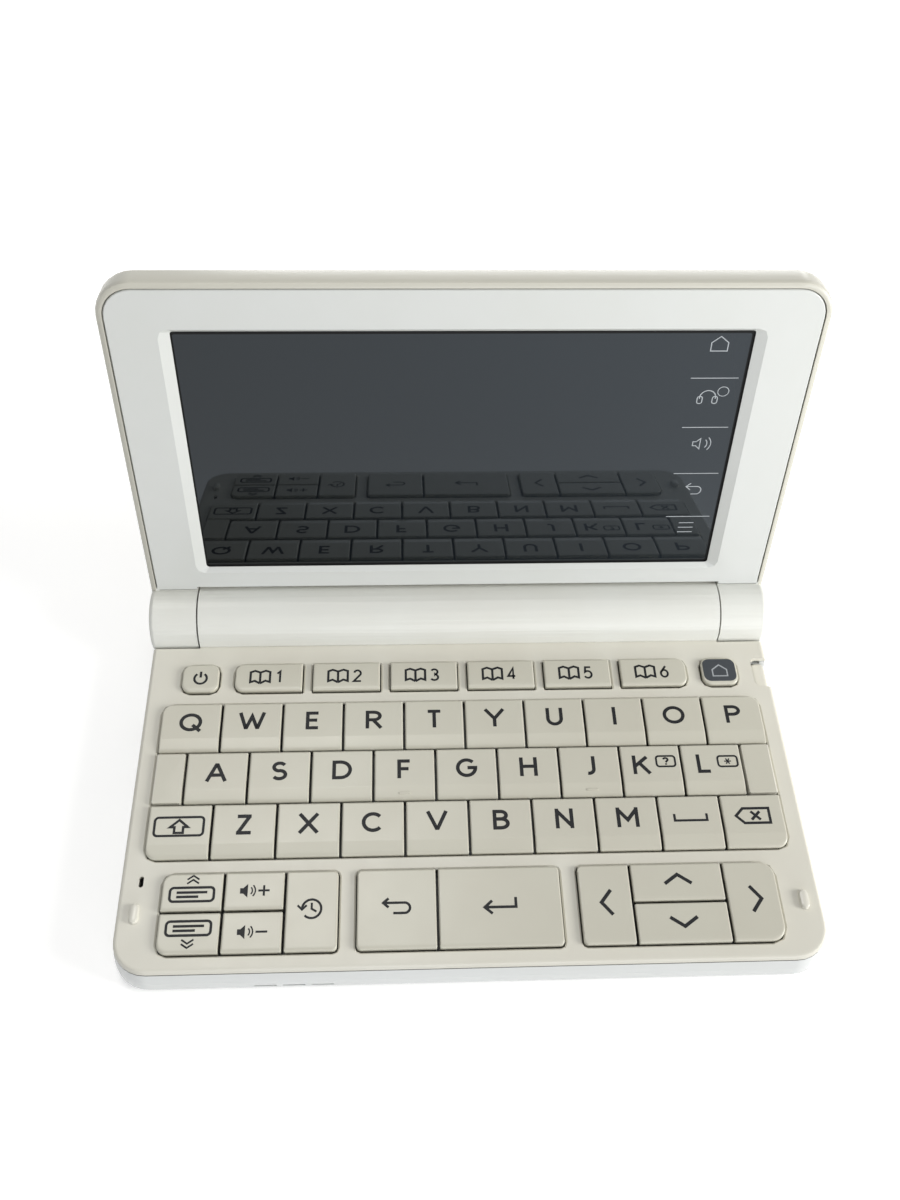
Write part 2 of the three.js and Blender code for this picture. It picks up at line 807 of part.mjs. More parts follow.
function lowerCase() {
  const lowerTop = seamZ - edgeGap;
  const turn = roundOver(floorEdgeRadius)
    .reverse()
    .map(({ inset, depth }) => ({
      outline: baseOutline(inset, baseRearY),
      z: undersideZ + depth,
    }));
  const flareFoot = undersideZ + flareHeight;
  const outer = loft([...turn, ...flareRings(0, baseRearY, flareFoot, lowerTop)]);
  const room = loft([
    { outline: baseOutline(sideWall, cavityRearY), z: floorZ },
    ...flareRings(sideWall, cavityRearY, flareFoot, lowerTop),
    { outline: baseOutline(sideWall, cavityRearY, 1), z: lowerTop + overrun },
  ]);
  const grooveBlock = block(
    grooveX - grooveWall,
    halfWidth - sideWall / 2,
    stylusFrontY - edgeGap - grooveWall,
    stylusRearY + edgeGap + grooveWall,
    undersideZ + floorThickness / 2,
    keyClearZ,
  );
  const groove = block(
    grooveX,
    halfWidth + overrun,
    stylusFrontY - edgeGap,
    stylusRearY + edgeGap,
    grooveZ,
    lowerTop + overrun,
  );
  const shell = pipeWall(
    barrelInner,
    barrelRadius,
    180 + shellBelowAxis + gapAngle,
    360 - gapAngle,
    -barrelEnd,
    barrelEnd,
  );
  const bay = rod(barrelInner, -barrelEnd - overrun, barrelEnd + overrun, 0, axisZ);
  const tray = join(cut(outer, room), grooveBlock, shell);
  const body = cut(tray, bay, groove, coverOpening(), knuckleRoom(), ...wallOpenings());
  const joined = join(body, ...barrelEnds(), ...boardPosts(), ...feet());
  return cut(joined, ...screwWells());
}

// Openings through the walls: the port and jack on the left, the sound slots in front.
const portY = barrelY - portFromBarrel;
const jackY = barrelY - jackFromBarrel;
const portZ = boardTopZ - portHeight / 2;
const jackZ = floorZ + edgeGap + jackRadius;

function wallOpenings() {
  const outside = -halfWidth - overrun;
  const inside = -halfWidth + sideFlare + sideWall + overrun;
  const port = block(
    outside,
    inside,
    portY - portLength / 2,
    portY + portLength / 2,
    portZ - portHeight / 2,
    portZ + portHeight / 2,
  );
  const jack = rod(jackRadius, outside, inside, jackY, jackZ, shaftSteps);
  const slots = Array.from({ length: slotCount }, (_, i) => {
    const x = -speakerFromCentre + (i - (slotCount - 1) / 2) * slotPitch;
    const z = deckZ - slotBelowDeck;
    return block(
      x - slotLength / 2,
      x + slotLength / 2,
      frontY - overrun,
      frontY + frontFlare + sideWall + overrun,
      z - slotHeight / 2,
      z + slotHeight / 2,
    );
  });
  return [port, jack, ...slots];
}

const boardFrontY = frontY + boardFrontInset;
const boardRearY = barrelY - boardRearInset;
const boardHalf = halfWidth - sheetInset;

// Posts that carry the board: three in front and three behind. The outer four take the screws
// that hold the two cases together, which sit in wells in the underside.
const postX = boardHalf - postSideInset;
const postYs = [boardFrontY + postFrontInset, boardRearY - postRearInset];

function boardPosts() {
  const low = floorZ - floorThickness / 2;
  return [-postX, 0, postX].flatMap((x) =>
    postYs.map((y) => post(postRadius, x, y, low, boardZ - edgeGap, postSteps)),
  );
}

function screwWells() {
  const low = undersideZ - overrun;
  return [-postX, postX].flatMap((x) =>
    postYs.map((y) => post(screwWellRadius, x, y, low, undersideZ + screwWellDepth, postSteps)),
  );
}

function feet() {
  const x = halfWidth - footSideInset;
  const frontFoot = frontY + footFrontInset;
  const rearFoot = barrelY - footRearInset;
  return [-x, x].flatMap((at) =>
    [frontFoot, rearFoot].map((y) => post(footRadius, at, y, 0, floorZ - floorThickness / 2)),
  );
}

function batteryCover() {
  const cover = pipeWall(
    barrelInner,
    barrelRadius,
    coverLowAngle,
    coverTopAngle,
    -coverHalfLength,
    coverHalfLength,
  );
  const grooves = Array.from({ length: gripGrooves }, (_, i) => {
    const x = (i - (gripGrooves - 1) / 2) * gripGroovePitch;
    return pipeWall(
      barrelRadius - gripGrooveDepth,
      barrelRadius + overrun,
      gripGrooveAngle - gripGrooveSpan / 2,
      gripGrooveAngle + gripGrooveSpan / 2,
      x - gripGrooveWidth / 2,
      x + gripGrooveWidth / 2,
    );
  });
  return cut(cover, ...grooves);
}

// Two cells in line, the button of one against the base of the other.
function batteryPair() {
  return turned(
    [
      [-cellLength, 0],
      [-cellLength, cellRadius],
      [-cellNubLength, cellRadius],
      [-cellNubLength, cellNubRadius],
      [0, cellNubRadius],
      [0, cellRadius],
      [cellLength - cellNubLength, cellRadius],
      [cellLength - cellNubLength, cellNubRadius],
      [cellLength, cellNubRadius],
      [cellLength, 0],
    ],
    0,
    axisZ,
    cellSteps,
  );
}

function hingeShaft() {
  return turned(
    [
      [collarEnd - shaftCollarLength, 0],
      [collarEnd - shaftCollarLength, shaftCollarRadius],
      [collarEnd, shaftCollarRadius],
      [collarEnd, shaftRadius],
      [knuckleStart + shaftReach, shaftRadius],
      [knuckleStart + shaftReach, 0],
    ],
    0,
    axisZ,
    shaftSteps,
  );
}

function stylus() {
  const ring = (inset, x) => ({
    outline: roundedRectangle(
      stylusFrontY + inset,
      stylusRearY - inset,
      stylusZ + inset,
      stylusZ + stylusHeight - inset,
      Array(4).fill(stylusEdge * 1.5 - inset),
    ),
    z: x,
  });
  const rounded = roundOver(stylusEdge, smallSteps).map(({ inset, depth }) =>
    ring(inset, stylusOuterX - depth),
  );
  const rings = [ring(0, stylusOuterX - stylusWidth), ...rounded];
  const across = new THREE.Matrix4().makeBasis(
    new THREE.Vector3(0, 1, 0),
    new THREE.Vector3(0, 0, 1),
    new THREE.Vector3(1, 0, 0),
  );
  const body = turnedLoft(rings, across);
  const padInset = edgeGap;
  const padTop = stylusZ + stylusHeight + padRise;
  const padRing = (inset, z) => ({
    outline: roundedRectangle(
      notchX + padInset + inset,
      stylusOuterX - stylusEdge / 2 - inset,
      notchFrontY + padInset + inset,
      notchRearY - padInset - inset,
      Array(4).fill(notchCorner - padInset - inset),
    ),
    z,
  });
  const padRounded = roundOver(stylusEdge, smallSteps).map(({ inset, depth }) =>
    padRing(inset, padTop - depth),
  );
  const pad = loft([padRing(0, stylusZ + stylusHeight / 2), ...padRounded]);
  return join(body, pad);
}

function turnedLoft(rings, matrix) {
  const upright = loft(rings).getMesh();
  return solidOf(geometryOf(upright).applyMatrix4(matrix));
}

function geometryOf(mesh) {
  const geometry = new THREE.BufferGeometry();
  const positions = [];
  for (let i = 0; i < mesh.vertProperties.length; i += mesh.numProp) {
    positions.push(mesh.vertProperties[i], mesh.vertProperties[i + 1], mesh.vertProperties[i + 2]);
  }
  geometry.setAttribute("position", new THREE.Float32BufferAttribute(positions, 3));
  geometry.setIndex([...mesh.triVerts]);
  return geometry;
}

// Electronics in the base

function rubberSheet() {
  const plate = block(-boardHalf, boardHalf, boardFrontY, boardRearY, sheetZ, sheetTopZ);
  const domes = keys.map((key) => {
    const x = (key.x0 + key.x1) / 2;
    const y = (key.y0 + key.y1) / 2;
    const ring = (radius, z) => ({
      outline: Array.from({ length: domeSides }, (_, i) => {
        const angle = (2 * Math.PI * i) / domeSides;
        return P(x + radius * Math.cos(angle), y + radius * Math.sin(angle));
      }),
      z,
    });
    return loft([
      ring(domeRadius, sheetTopZ - sheetThickness / 2),
      ring(domeRadius, sheetTopZ),
      ring(domeTopRadius, domeZ),
    ]);
  });
  return join(plate, ...domes);
}

const speakerFrontY = frontY + sideWall + edgeGap * 4;

function mainBoard() {
  const plate = block(-boardHalf, boardHalf, boardFrontY, boardRearY, boardZ, boardTopZ);
  const speakerRoom = block(
    -speakerFromCentre - speakerWidth / 2 - edgeGap,
    -speakerFromCentre + speakerWidth / 2 + edgeGap,
    boardFrontY - overrun,
    speakerFrontY + speakerDepth + edgeGap,
    boardZ - overrun,
    boardTopZ + overrun,
  );
  const socketX = -halfWidth + sideFlare + sideWall + edgeGap;
  const port = block(
    socketX,
    socketX + portBodyLength,
    portY - portLength / 2 + edgeGap,
    portY + portLength / 2 - edgeGap,
    portZ - portHeight / 2 + edgeGap,
    boardTopZ,
  );
  const jackBody = block(
    socketX,
    socketX + jackBodyLength,
    jackY - jackBodyWidth / 2,
    jackY + jackBodyWidth / 2,
    floorZ + edgeGap,
    deckZ - jackTop,
  );
  const jackFoot = block(
    socketX + jackBodyLength / 2,
    socketX + jackBodyLength * 2,
    jackY - jackBodyWidth / 2,
    jackY + jackBodyWidth / 2,
    floorZ + edgeGap,
    boardTopZ,
  );
  const jackBore = rod(
    jackRadius * 0.9,
    socketX - overrun,
    socketX + jackBodyLength * 0.8,
    jackY,
    jackZ,
    shaftSteps,
  );
  return cut(join(cut(plate, speakerRoom), port, jackBody, jackFoot), jackBore);
}

function speaker() {
  const x0 = -speakerFromCentre - speakerWidth / 2;
  const x1 = -speakerFromCentre + speakerWidth / 2;
  const y0 = speakerFrontY;
  const y1 = speakerFrontY + speakerDepth;
  const low = floorZ + edgeGap;
  const rim = prism(
    roundedRectangle(x0, x1, y0, y1, Array(4).fill(speakerCorner)),
    low,
    boardTopZ - floorThickness / 2,
  );
  const coneInset = speakerDepth * 0.15;
  const cone = prism(
    roundedRectangle(
      x0 + coneInset,
      x1 - coneInset,
      y0 + coneInset,
      y1 - coneInset,
      Array(4).fill(speakerCorner),
    ),
    boardZ,
    boardTopZ,
  );
  return join(rim, cone);
}

// Lid, in its own frame: y up the lid from the hinge axis, z out of the face

const lidTopY = hingeToFront;
const lidLowY = barrelRadius + lidClearOfBarrel;
const faceZ = -faceSet;
const lidBackZ = faceZ - lidThickness;
const bezelBackZ = faceZ - bezelThickness;
const glassZ = bezelBackZ - bezelGap;
const glassBackZ = glassZ - glassThickness;
const modulBackZ = glassBackZ - modulThickness;
const bezelLowY = lidLowY - bezelDrop;
const windowHalf = halfWidth - windowSide;
const windowLeftX = -windowHalf - windowShift;
const windowRightX = windowHalf - windowShift;
const windowTopY = lidTopY - windowTop;
const windowLowY = lidLowY + windowBottom;

function lidOutline(inset, lowY) {
  const corner = cornerRadius - inset;
  return roundedRectangle(
    -halfWidth + inset,
    halfWidth - inset,
    lowY,
    lidTopY - inset,
    [rearCornerRadius, rearCornerRadius, corner, corner],
    cornerSteps,
  );
}

// A knuckle is turned, with its outer end rounded.
function knuckle(side) {
  const profile = [[knuckleStart, 0], [knuckleStart, knuckleRadius]];
  for (const { inset, depth } of roundOver(knuckleRim)) {
    profile.push([halfWidth - depth, knuckleRadius - inset]);
  }
  profile.push([halfWidth, 0]);
  const solid = turned(profile);
  if (side > 0) {
    return solid;
  }
  const turn = new THREE.Matrix4().makeRotationZ(Math.PI);
  return solidOf(geometryOf(solid.getMesh()).applyMatrix4(turn));
}

function lidRearCover() {
  const back = roundOver(lidBackRadius)
    .reverse()
    .map(({ inset, depth }) => ({ outline: lidOutline(inset, 0), z: lidBackZ + depth }));
  const face = roundOver(lidFaceRadius, smallSteps).map(({ inset, depth }) => ({
    outline: lidOutline(inset, 0),
    z: faceZ - depth,
  }));
  const slab = loft([...back, ...face]);
  const gapForBarrel = block(
    -knuckleStart,
    knuckleStart,
    -overrun,
    lidLowY,
    lidBackZ - overrun,
    faceZ + overrun,
  );
  const rimRoom = prism(
    lidOutline(lidRim, bezelLowY - bezelGap),
    bezelBackZ - bezelGap,
    faceZ + overrun,
  );
  const inside = prism(
    roundedRectangle(
      -halfWidth + lidRim + lidWall,
      halfWidth - lidRim - lidWall,
      lidLowY + lidWall,
      lidTopY - lidRim - lidWall,
      [rearCornerRadius, rearCornerRadius, cornerRadius - lidWall, cornerRadius - lidWall],
      cornerSteps,
    ),
    lidBackZ + lidWall,
    faceZ + overrun,
  );
  const ribs = Array.from({ length: ribCount }, (_, i) => {
    const x = windowHalf * (i - (ribCount - 1) / 2);
    return block(
      x - ribWidth / 2,
      x + ribWidth / 2,
      lidLowY + lidWall / 2,
      lidTopY - lidRim - lidWall / 2,
      lidBackZ + lidWall / 2,
      modulBackZ - edgeGap,
    );
  });
  const shell = join(cut(slab, gapForBarrel, inside), ...ribs);
  const boreReach = shaftReach + shaftGap;
  const shaftBore = rod(
    shaftRadius + shaftGap,
    knuckleStart - overrun,
    knuckleStart + boreReach,
    0,
    0,
    shaftSteps,
  );
  const bossBore = rod(
    bossRadius + shaftGap,
    -knuckleStart - boreReach,
    -knuckleStart + overrun,
    0,
    0,
    shaftSteps,
  );
  const withoutRim = cut(shell, rimRoom);
  return cut(join(withoutRim, knuckle(1), knuckle(-1)), shaftBore, bossBore);
}

function lidFrontBezel() {
  const edge = lidRim + bezelGap;
  const corner = cornerRadius - edge;
  const ring = (inset, z) => ({
    outline: roundedRectangle(
      -halfWidth + edge + inset,
      halfWidth - edge - inset,
      lidLowY + inset,
      lidTopY - edge - inset,
      [sharpCorner, sharpCorner, corner - inset, corner - inset],
      cornerSteps,
    ),
    z,
  });
  const plate = loft([
    ring(0, bezelBackZ),
    ring(0, faceZ - bezelEdge),
    ring(bezelEdge, faceZ),
  ]);
  const tabs = [-1, 1].map((side) => {
    const outer = side * (halfWidth - edge);
    const inner = side * (knuckleStart + bezelGap / 2);
    return block(
      Math.min(outer, inner),
      Math.max(outer, inner),
      bezelLowY,
      lidLowY + bezelDrop,
      bezelBackZ,
      faceZ - bezelEdge / 4,
    );
  });
  const frameRing = (inset) =>
    roundedRectangle(
      -halfWidth + edge + bezelFrameInset + inset,
      halfWidth - edge - bezelFrameInset - inset,
      lidLowY + bezelFrameInset + inset,
      lidTopY - edge - bezelFrameInset - inset,
      [sharpCorner, sharpCorner, corner - bezelFrameInset, corner - bezelFrameInset],
    );
  const frame = cut(
    prism(frameRing(0), bezelBackZ - bezelFrameDepth, bezelBackZ + bezelLand),
    prism(frameRing(bezelFrameWall), bezelBackZ - bezelFrameDepth - overrun, bezelBackZ),
  );
  const opening = (side, top, low, radius, z) => ({
    outline: roundedRectangle(
      windowLeftX - side,
      windowRightX + side,
      windowLowY - low,
      windowTopY + top,
      Array(4).fill(radius),
    ),
    z,
  });
  const straight = opening(0, 0, 0, windowCorner, bezelBackZ + bezelLand);
  const slope = loft([
    { ...straight, z: bezelBackZ - bezelFrameDepth - overrun },
    straight,
    opening(slopeSide, slopeTop, slopeBottom, slopeCorner, faceZ),
    opening(slopeSide, slopeTop, slopeBottom, slopeCorner, faceZ + overrun),
  ]);
  return cut(join(plate, ...tabs, frame), slope);
}

function displayPanel() {
  const glass = prism(
    roundedRectangle(
      windowLeftX - glassLap,
      windowRightX + glassLap,
      windowLowY - glassLap,
      windowTopY + glassLap,
      Array(4).fill(windowCorner),
    ),
    glassBackZ,
    glassZ,
  );
  const modul = block(
    windowLeftX - glassLap + modulInset,
    windowRightX + glassLap - modulInset,
    windowLowY - glassLap + modulInset,
    windowTopY + glassLap - modulInset,
    modulBackZ,
    glassBackZ + glassThickness / 2,
  );
  return join(glass, modul);
}

// Materials and nodes

const plastic = (color, roughness = 0.45) =>
  new THREE.MeshStandardMaterial({ color, roughness, metalness: 0 });
const caseWhite = plastic(0xdfe0d8);
const deckCream = plastic(0xd3d0c3);
const keyCream = plastic(0xcbc8ba, 0.5);
const barrelWhite = plastic(0xdcdcd4);
const rubberGrey = plastic(0x8f9190, 0.9);
const boardGreen = plastic(0x3f5e46, 0.6);
const glassBlack = plastic(0x3a3e44, 0.08);
const labelGrey = plastic(0x9aa0a4, 0.4);
const steel = new THREE.MeshStandardMaterial({ color: 0xb8babc, roughness: 0.3, metalness: 1 });

function node(name, solid, material) {
  const mesh = new THREE.Mesh(geometryOf(solid.getMesh()), material);
  mesh.geometry.computeVertexNormals();
  mesh.name = name;
  return mesh;
}

const base = new THREE.Group();
base.add(
  node("upper_case", upperCase(), deckCream),
  node("lower_case", lowerCase(), caseWhite),
  node("battery_cover", batteryCover(), barrelWhite),
  node("battery_pair", batteryPair(), labelGrey),
  node("hinge_shaft", hingeShaft(), steel),
  node("key_rubber_sheet", rubberSheet(), rubberGrey),
  node("main_board", mainBoard(), boardGreen),
  node("speaker", speaker(), labelGrey),
  node("stylus", stylus(), caseWhite),
  ...keys.map((key) => node(key.name, keyCap(key), keyCream)),
);

const lid = new THREE.Group();
lid.add(
  node("lid_rear_cover", lidRearCover(), caseWhite),
  node("lid_front_bezel", lidFrontBezel(), caseWhite),
  node("display_panel", displayPanel(), glassBlack),
);
lid.position.z = axisZ;
lid.rotation.x = degrees(180 - openAngle);

const dictionary = new THREE.Group();
dictionary.add(base, lid);
const footprint = new THREE.Box3().setFromObject(dictionary, true);
dictionary.position.y = -(footprint.min.y + footprint.max.y) / 2;

const part = new THREE.Group();
part.add(dictionary);

export default part;
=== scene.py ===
# %% [markdown]
# # A pocket electronic dictionary
#
# The CAD frame brings the solids: the case, the hinge, the lid, 48 keys and what is inside. This
# notebook gives them the finish of the real ones. Each moulded shell gets softened edges and its
# own plastic. The keys are built again with finer edges and get their printed marks. The window
# gets its dark display with the column of touch marks. All lengths are real ones, in millimetres,
# and one helper turns them into Blender's metres.

# %% Load the CAD frame
import json
import math

import bmesh
import bpy
from mathutils import Matrix, Vector
from mathutils.geometry import convex_hull_2d


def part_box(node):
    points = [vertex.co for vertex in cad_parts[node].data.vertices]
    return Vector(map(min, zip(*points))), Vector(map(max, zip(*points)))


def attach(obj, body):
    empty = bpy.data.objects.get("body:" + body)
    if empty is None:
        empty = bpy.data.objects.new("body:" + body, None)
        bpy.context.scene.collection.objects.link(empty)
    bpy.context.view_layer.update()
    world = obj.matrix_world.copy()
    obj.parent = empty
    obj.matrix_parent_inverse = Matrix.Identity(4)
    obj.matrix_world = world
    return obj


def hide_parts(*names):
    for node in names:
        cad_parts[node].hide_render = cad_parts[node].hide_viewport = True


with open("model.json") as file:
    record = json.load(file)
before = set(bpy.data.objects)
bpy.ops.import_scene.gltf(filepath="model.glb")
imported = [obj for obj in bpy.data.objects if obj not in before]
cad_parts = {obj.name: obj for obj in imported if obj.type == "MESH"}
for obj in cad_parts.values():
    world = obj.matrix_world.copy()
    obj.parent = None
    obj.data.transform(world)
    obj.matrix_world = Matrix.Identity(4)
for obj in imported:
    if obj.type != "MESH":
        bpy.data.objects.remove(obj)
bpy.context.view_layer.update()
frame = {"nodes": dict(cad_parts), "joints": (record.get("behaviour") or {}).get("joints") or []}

nodes = frame["nodes"]
hinge = next(joint for joint in frame["joints"] if joint["name"] == "lid_hinge")
hinge_place = Vector(hinge["pos_m"])

# %% [markdown]
# ## Units and colours
#
# A designer's drawing is in millimetres and a paint chip is an sRGB hex value. Blender wants metres
# and linear light, so two small helpers do the turning, once, for the whole notebook.

# %% Helpers for units and colours
MM = 0.001


def mm(x, y, z):
    return Vector((x, y, z)) * MM


def linear(hex_value):
    channels = [int(hex_value[i : i + 2], 16) / 255 for i in (1, 3, 5)]
    bent = [c / 12.92 if c <= 0.04045 else ((c + 0.055) / 1.055) ** 2.4 for c in channels]
    return (*bent, 1.0)


print("mid grey in linear light:", round(linear("#808080")[0], 3))

# %% [markdown]
# ## Camera
#
# The camera stands where the photograph was taken: above the keys, looking down at 54 degrees and
# turned a little to the right. Its place, measured from the middle of the hinge axis, and its
# angles were solved from marked points, so they are written as numbers. The focal length is known
# in pixels of the 900 by 1200 picture, and the sensor height turns it into a lens.

# %% Camera at the photograph's place
PHOTO_HEIGHT = 1200  # pixels
FOCAL_PIXELS = 1147.1
SENSOR = 36.0  # mm
NEAREST_SEEN = 10.0  # mm
CAMERA_PLACE = mm(-13.63, -162.87, 233.46)  # from the middle of the hinge axis
pitch, yaw, roll = (math.radians(angle) for angle in (54.27, 3.90, -2.51))

ahead = Vector(
    (math.sin(yaw) * math.cos(pitch), math.cos(yaw) * math.cos(pitch), -math.sin(pitch))
)
level = Vector((math.cos(yaw), -math.sin(yaw), 0.0))
down = ahead.cross(level)
image_right = math.cos(roll) * level + math.sin(roll) * down
image_up = math.sin(roll) * level - math.cos(roll) * down

camera_data = bpy.data.cameras.new("photo_camera")
camera_data.sensor_fit = "VERTICAL"
camera_data.sensor_height = SENSOR
camera_data.lens = SENSOR * FOCAL_PIXELS / PHOTO_HEIGHT
camera_data.clip_start = NEAREST_SEEN * MM
camera = bpy.data.objects.new("photo_camera", camera_data)
bpy.context.scene.collection.objects.link(camera)
turn = Matrix((image_right, image_up, -ahead)).transposed().to_4x4()
camera.matrix_world = Matrix.Translation(hinge_place + CAMERA_PLACE) @ turn
bpy.context.scene.camera = camera
print("lens", round(camera_data.lens, 2), "mm on a", SENSOR, "mm sensor")

# %% [markdown]
# ## Nodes
#
# A material, and the sky as well, is a tree of nodes with links between them. One could drag them
# about in an editor. Here one small function adds a node with its settings and links, so that a
# material reads like a recipe. The floor and the sky may look brighter than they light, and the
# light path node tells the two apart.

# %% One small function adds a node
def add_node(tree, kind, inputs=None, **settings):
    node = tree.nodes.new(kind)
    for name, value in settings.items():
        setattr(node, name, value)
    for socket, value in (inputs or {}).items():
        if isinstance(value, bpy.types.NodeSocket):
            tree.links.new(value, node.inputs[socket])
        else:
            node.inputs[socket].default_value = value
    return node


def seen_directly(tree):
    """1 for camera, glossy and transmission rays: what the eye or a reflection sees."""
    path = add_node(tree, "ShaderNodeLightPath")
    seen = path.outputs["Is Camera Ray"]
    for ray in ("Is Glossy Ray", "Is Transmission Ray"):
        pair = {0: seen, 1: path.outputs[ray]}
        seen = add_node(tree, "ShaderNodeMath", pair, operation="MAXIMUM").outputs[0]
    return seen


def empty_material(name):
    """A material with no nodes yet, and its node tree."""
    material = bpy.data.materials.new(name)
    material.use_nodes = True
    material.node_tree.nodes.clear()
    return material, material.node_tree


print("the floor and the sky tell what sees them")

# %% [markdown]
# ## Floor
#
# Products are shown on a pale sweep of paper under soft lamps. It could be a sheet that bends up
# behind, but seen from above one wide plane does. Seen by the camera it glows a little, so that it
# comes out nearly white and still shows the soft shadow.

# %% Pale floor
FLOOR_GLOW = 0.42
FLOOR_REACH = 3.0  # m from the middle to each side


def backdrop_paper():
    """Matt white paper that glows a little where it is seen directly."""
    material, tree = empty_material("backdrop_paper")
    matt = add_node(tree, "ShaderNodeBsdfDiffuse", {"Color": linear("#EFEFEE")})
    glow = add_node(
        tree, "ShaderNodeMath", {0: seen_directly(tree), 1: FLOOR_GLOW}, operation="MULTIPLY"
    )
    lamp = add_node(
        tree, "ShaderNodeEmission", {"Color": linear("#FFFFFF"), "Strength": glow.outputs[0]}
    )
    both = add_node(tree, "ShaderNodeAddShader", {0: matt.outputs[0], 1: lamp.outputs[0]})
    add_node(tree, "ShaderNodeOutputMaterial", {"Surface": both.outputs[0]})
    return material


floor_mesh = bpy.data.meshes.new("floor")
floor_corners = [
    (x * FLOOR_REACH, y * FLOOR_REACH, 0) for x, y in ((-1, -1), (1, -1), (1, 1), (-1, 1))
]
floor_mesh.from_pydata(floor_corners, [], [(0, 1, 2, 3)])
floor_mesh.materials.append(backdrop_paper())
floor = bpy.data.objects.new("floor", floor_mesh)
bpy.context.scene.collection.objects.link(floor)
print("floor glows by", FLOOR_GLOW)

# %% [markdown]
# ## Light
#
# The shadows in the photograph fall to the left and a little away, twice as long as what throws
# them is high, so the main light is a low one on the right, somewhat in front. A lamp high up behind
# the lid reaches the keys and gives their sloped fronts a sheen, but hardly the top of the barrel,
# which the lid shades. A wide one in front opens the shadows, a narrow beam from the right brightens
# that side of the lid, and a low one behind lights its back. An even sky fills what they leave dark.
# Its level is low as a light and full where it is seen, so that a gloss mirrors white.

# %% An even sky
WORLD_LEVEL = 0.36  # of the light that the sky has where it is seen directly

world = bpy.data.worlds.new("studio")
bpy.context.scene.world = world
world.use_nodes = True
tree = world.node_tree
tree.nodes.clear()
brightness = add_node(
    tree, "ShaderNodeMapRange", {"Value": seen_directly(tree), "To Min": WORLD_LEVEL, "To Max": 1.0}
)
sky = add_node(
    tree,
    "ShaderNodeBackground",
    {"Color": linear("#FCFDFF"), "Strength": brightness.outputs["Result"]},
)
add_node(tree, "ShaderNodeOutputWorld", {"Surface": sky.outputs[0]})
bpy.context.scene.view_settings.view_transform = "Standard"
print("sky lights at", WORLD_LEVEL)

# %% Soft lamps
def softbox(name, place, aim, width, height, watts, colour, spread=180):
    """A rectangular lamp. Places and sizes in metres, spread in degrees."""
    data = bpy.data.lights.new(name, "AREA")
    data.shape = "RECTANGLE"
    data.size = width
    data.size_y = height
    data.energy = watts
    data.color = linear(colour)[:3]
    data.spread = math.radians(spread)
    obj = bpy.data.objects.new(name, data)
    bpy.context.scene.collection.objects.link(obj)
    obj.location = place
    obj.rotation_euler = (Vector(aim) - Vector(place)).to_track_quat("-Z", "Y").to_euler()


softbox("window_right", (1.6, -0.36, 0.64), (0, 0, 0.02), 0.64, 0.57, 23.0, "#FFFEFA")
softbox("lamp_behind", (-0.14, 0.31, 0.95), (0, -0.02, 0.01), 0.28, 0.2, 2.4, "#FFFDF8")
softbox("wall_in_front", (0.25, -0.9, 0.18), (0, 0.03, 0.03), 0.8, 0.3, 2.8, "#F8FAFF")
softbox("wall_behind", (0.15, 0.95, 0.13), (0, 0.05, 0.04), 0.7, 0.25, 1.8, "#FCFCFC")
softbox("card_right", (0.26, -0.1, 0.1), (0.08, 0.045, 0.08), 0.1, 0.08, 0.045, "#FFFFFF", 70)
print("five soft lamps")

# %% [markdown]
# ## Moulded plastics
#
# Almost everything here is ABS, injection moulded. Under light an ABS wall shows three things: a
# colour that is never quite even, a fine texture from the mould, and a soft highlight. A noise of
# some centimetres varies the colour. The satin parts have the grain of a spark-eroded mould, about
# 0.05 mm in the real part and drawn at 0.2 mm, the finest that still shows, and fingers' marks that
# change the roughness. The glossy parts have neither, only the faint long waves of a polished one.
# The barrel's mould was polished lengthways, so its waves are streaks.

# %% A colour that is never quite even
def drifting_colour(tree, place, colours, size, stops, **noise):
    """Wanders between two colours over a size in mm. Up to the first stop it is the first colour."""
    inputs = {"Vector": place, "Scale": 1 / (size * MM), "Detail": 3.0, **noise}
    drift = add_node(tree, "ShaderNodeTexNoise", inputs)
    ramp = add_node(tree, "ShaderNodeValToRGB", {"Fac": drift.outputs["Fac"]})
    for element, colour, stop in zip(ramp.color_ramp.elements, colours, stops):
        element.position = stop
        element.color = linear(colour)
    return ramp.outputs["Color"]


print("two colours make one that is never quite even")

# %% One material for all moulded plastics
DRIFT_SIZE = 24.0  # mm over which the colour of a moulding wanders
TOUCH_SIZE = 7.0  # mm, about a fingertip
ABS_IOR = 1.53


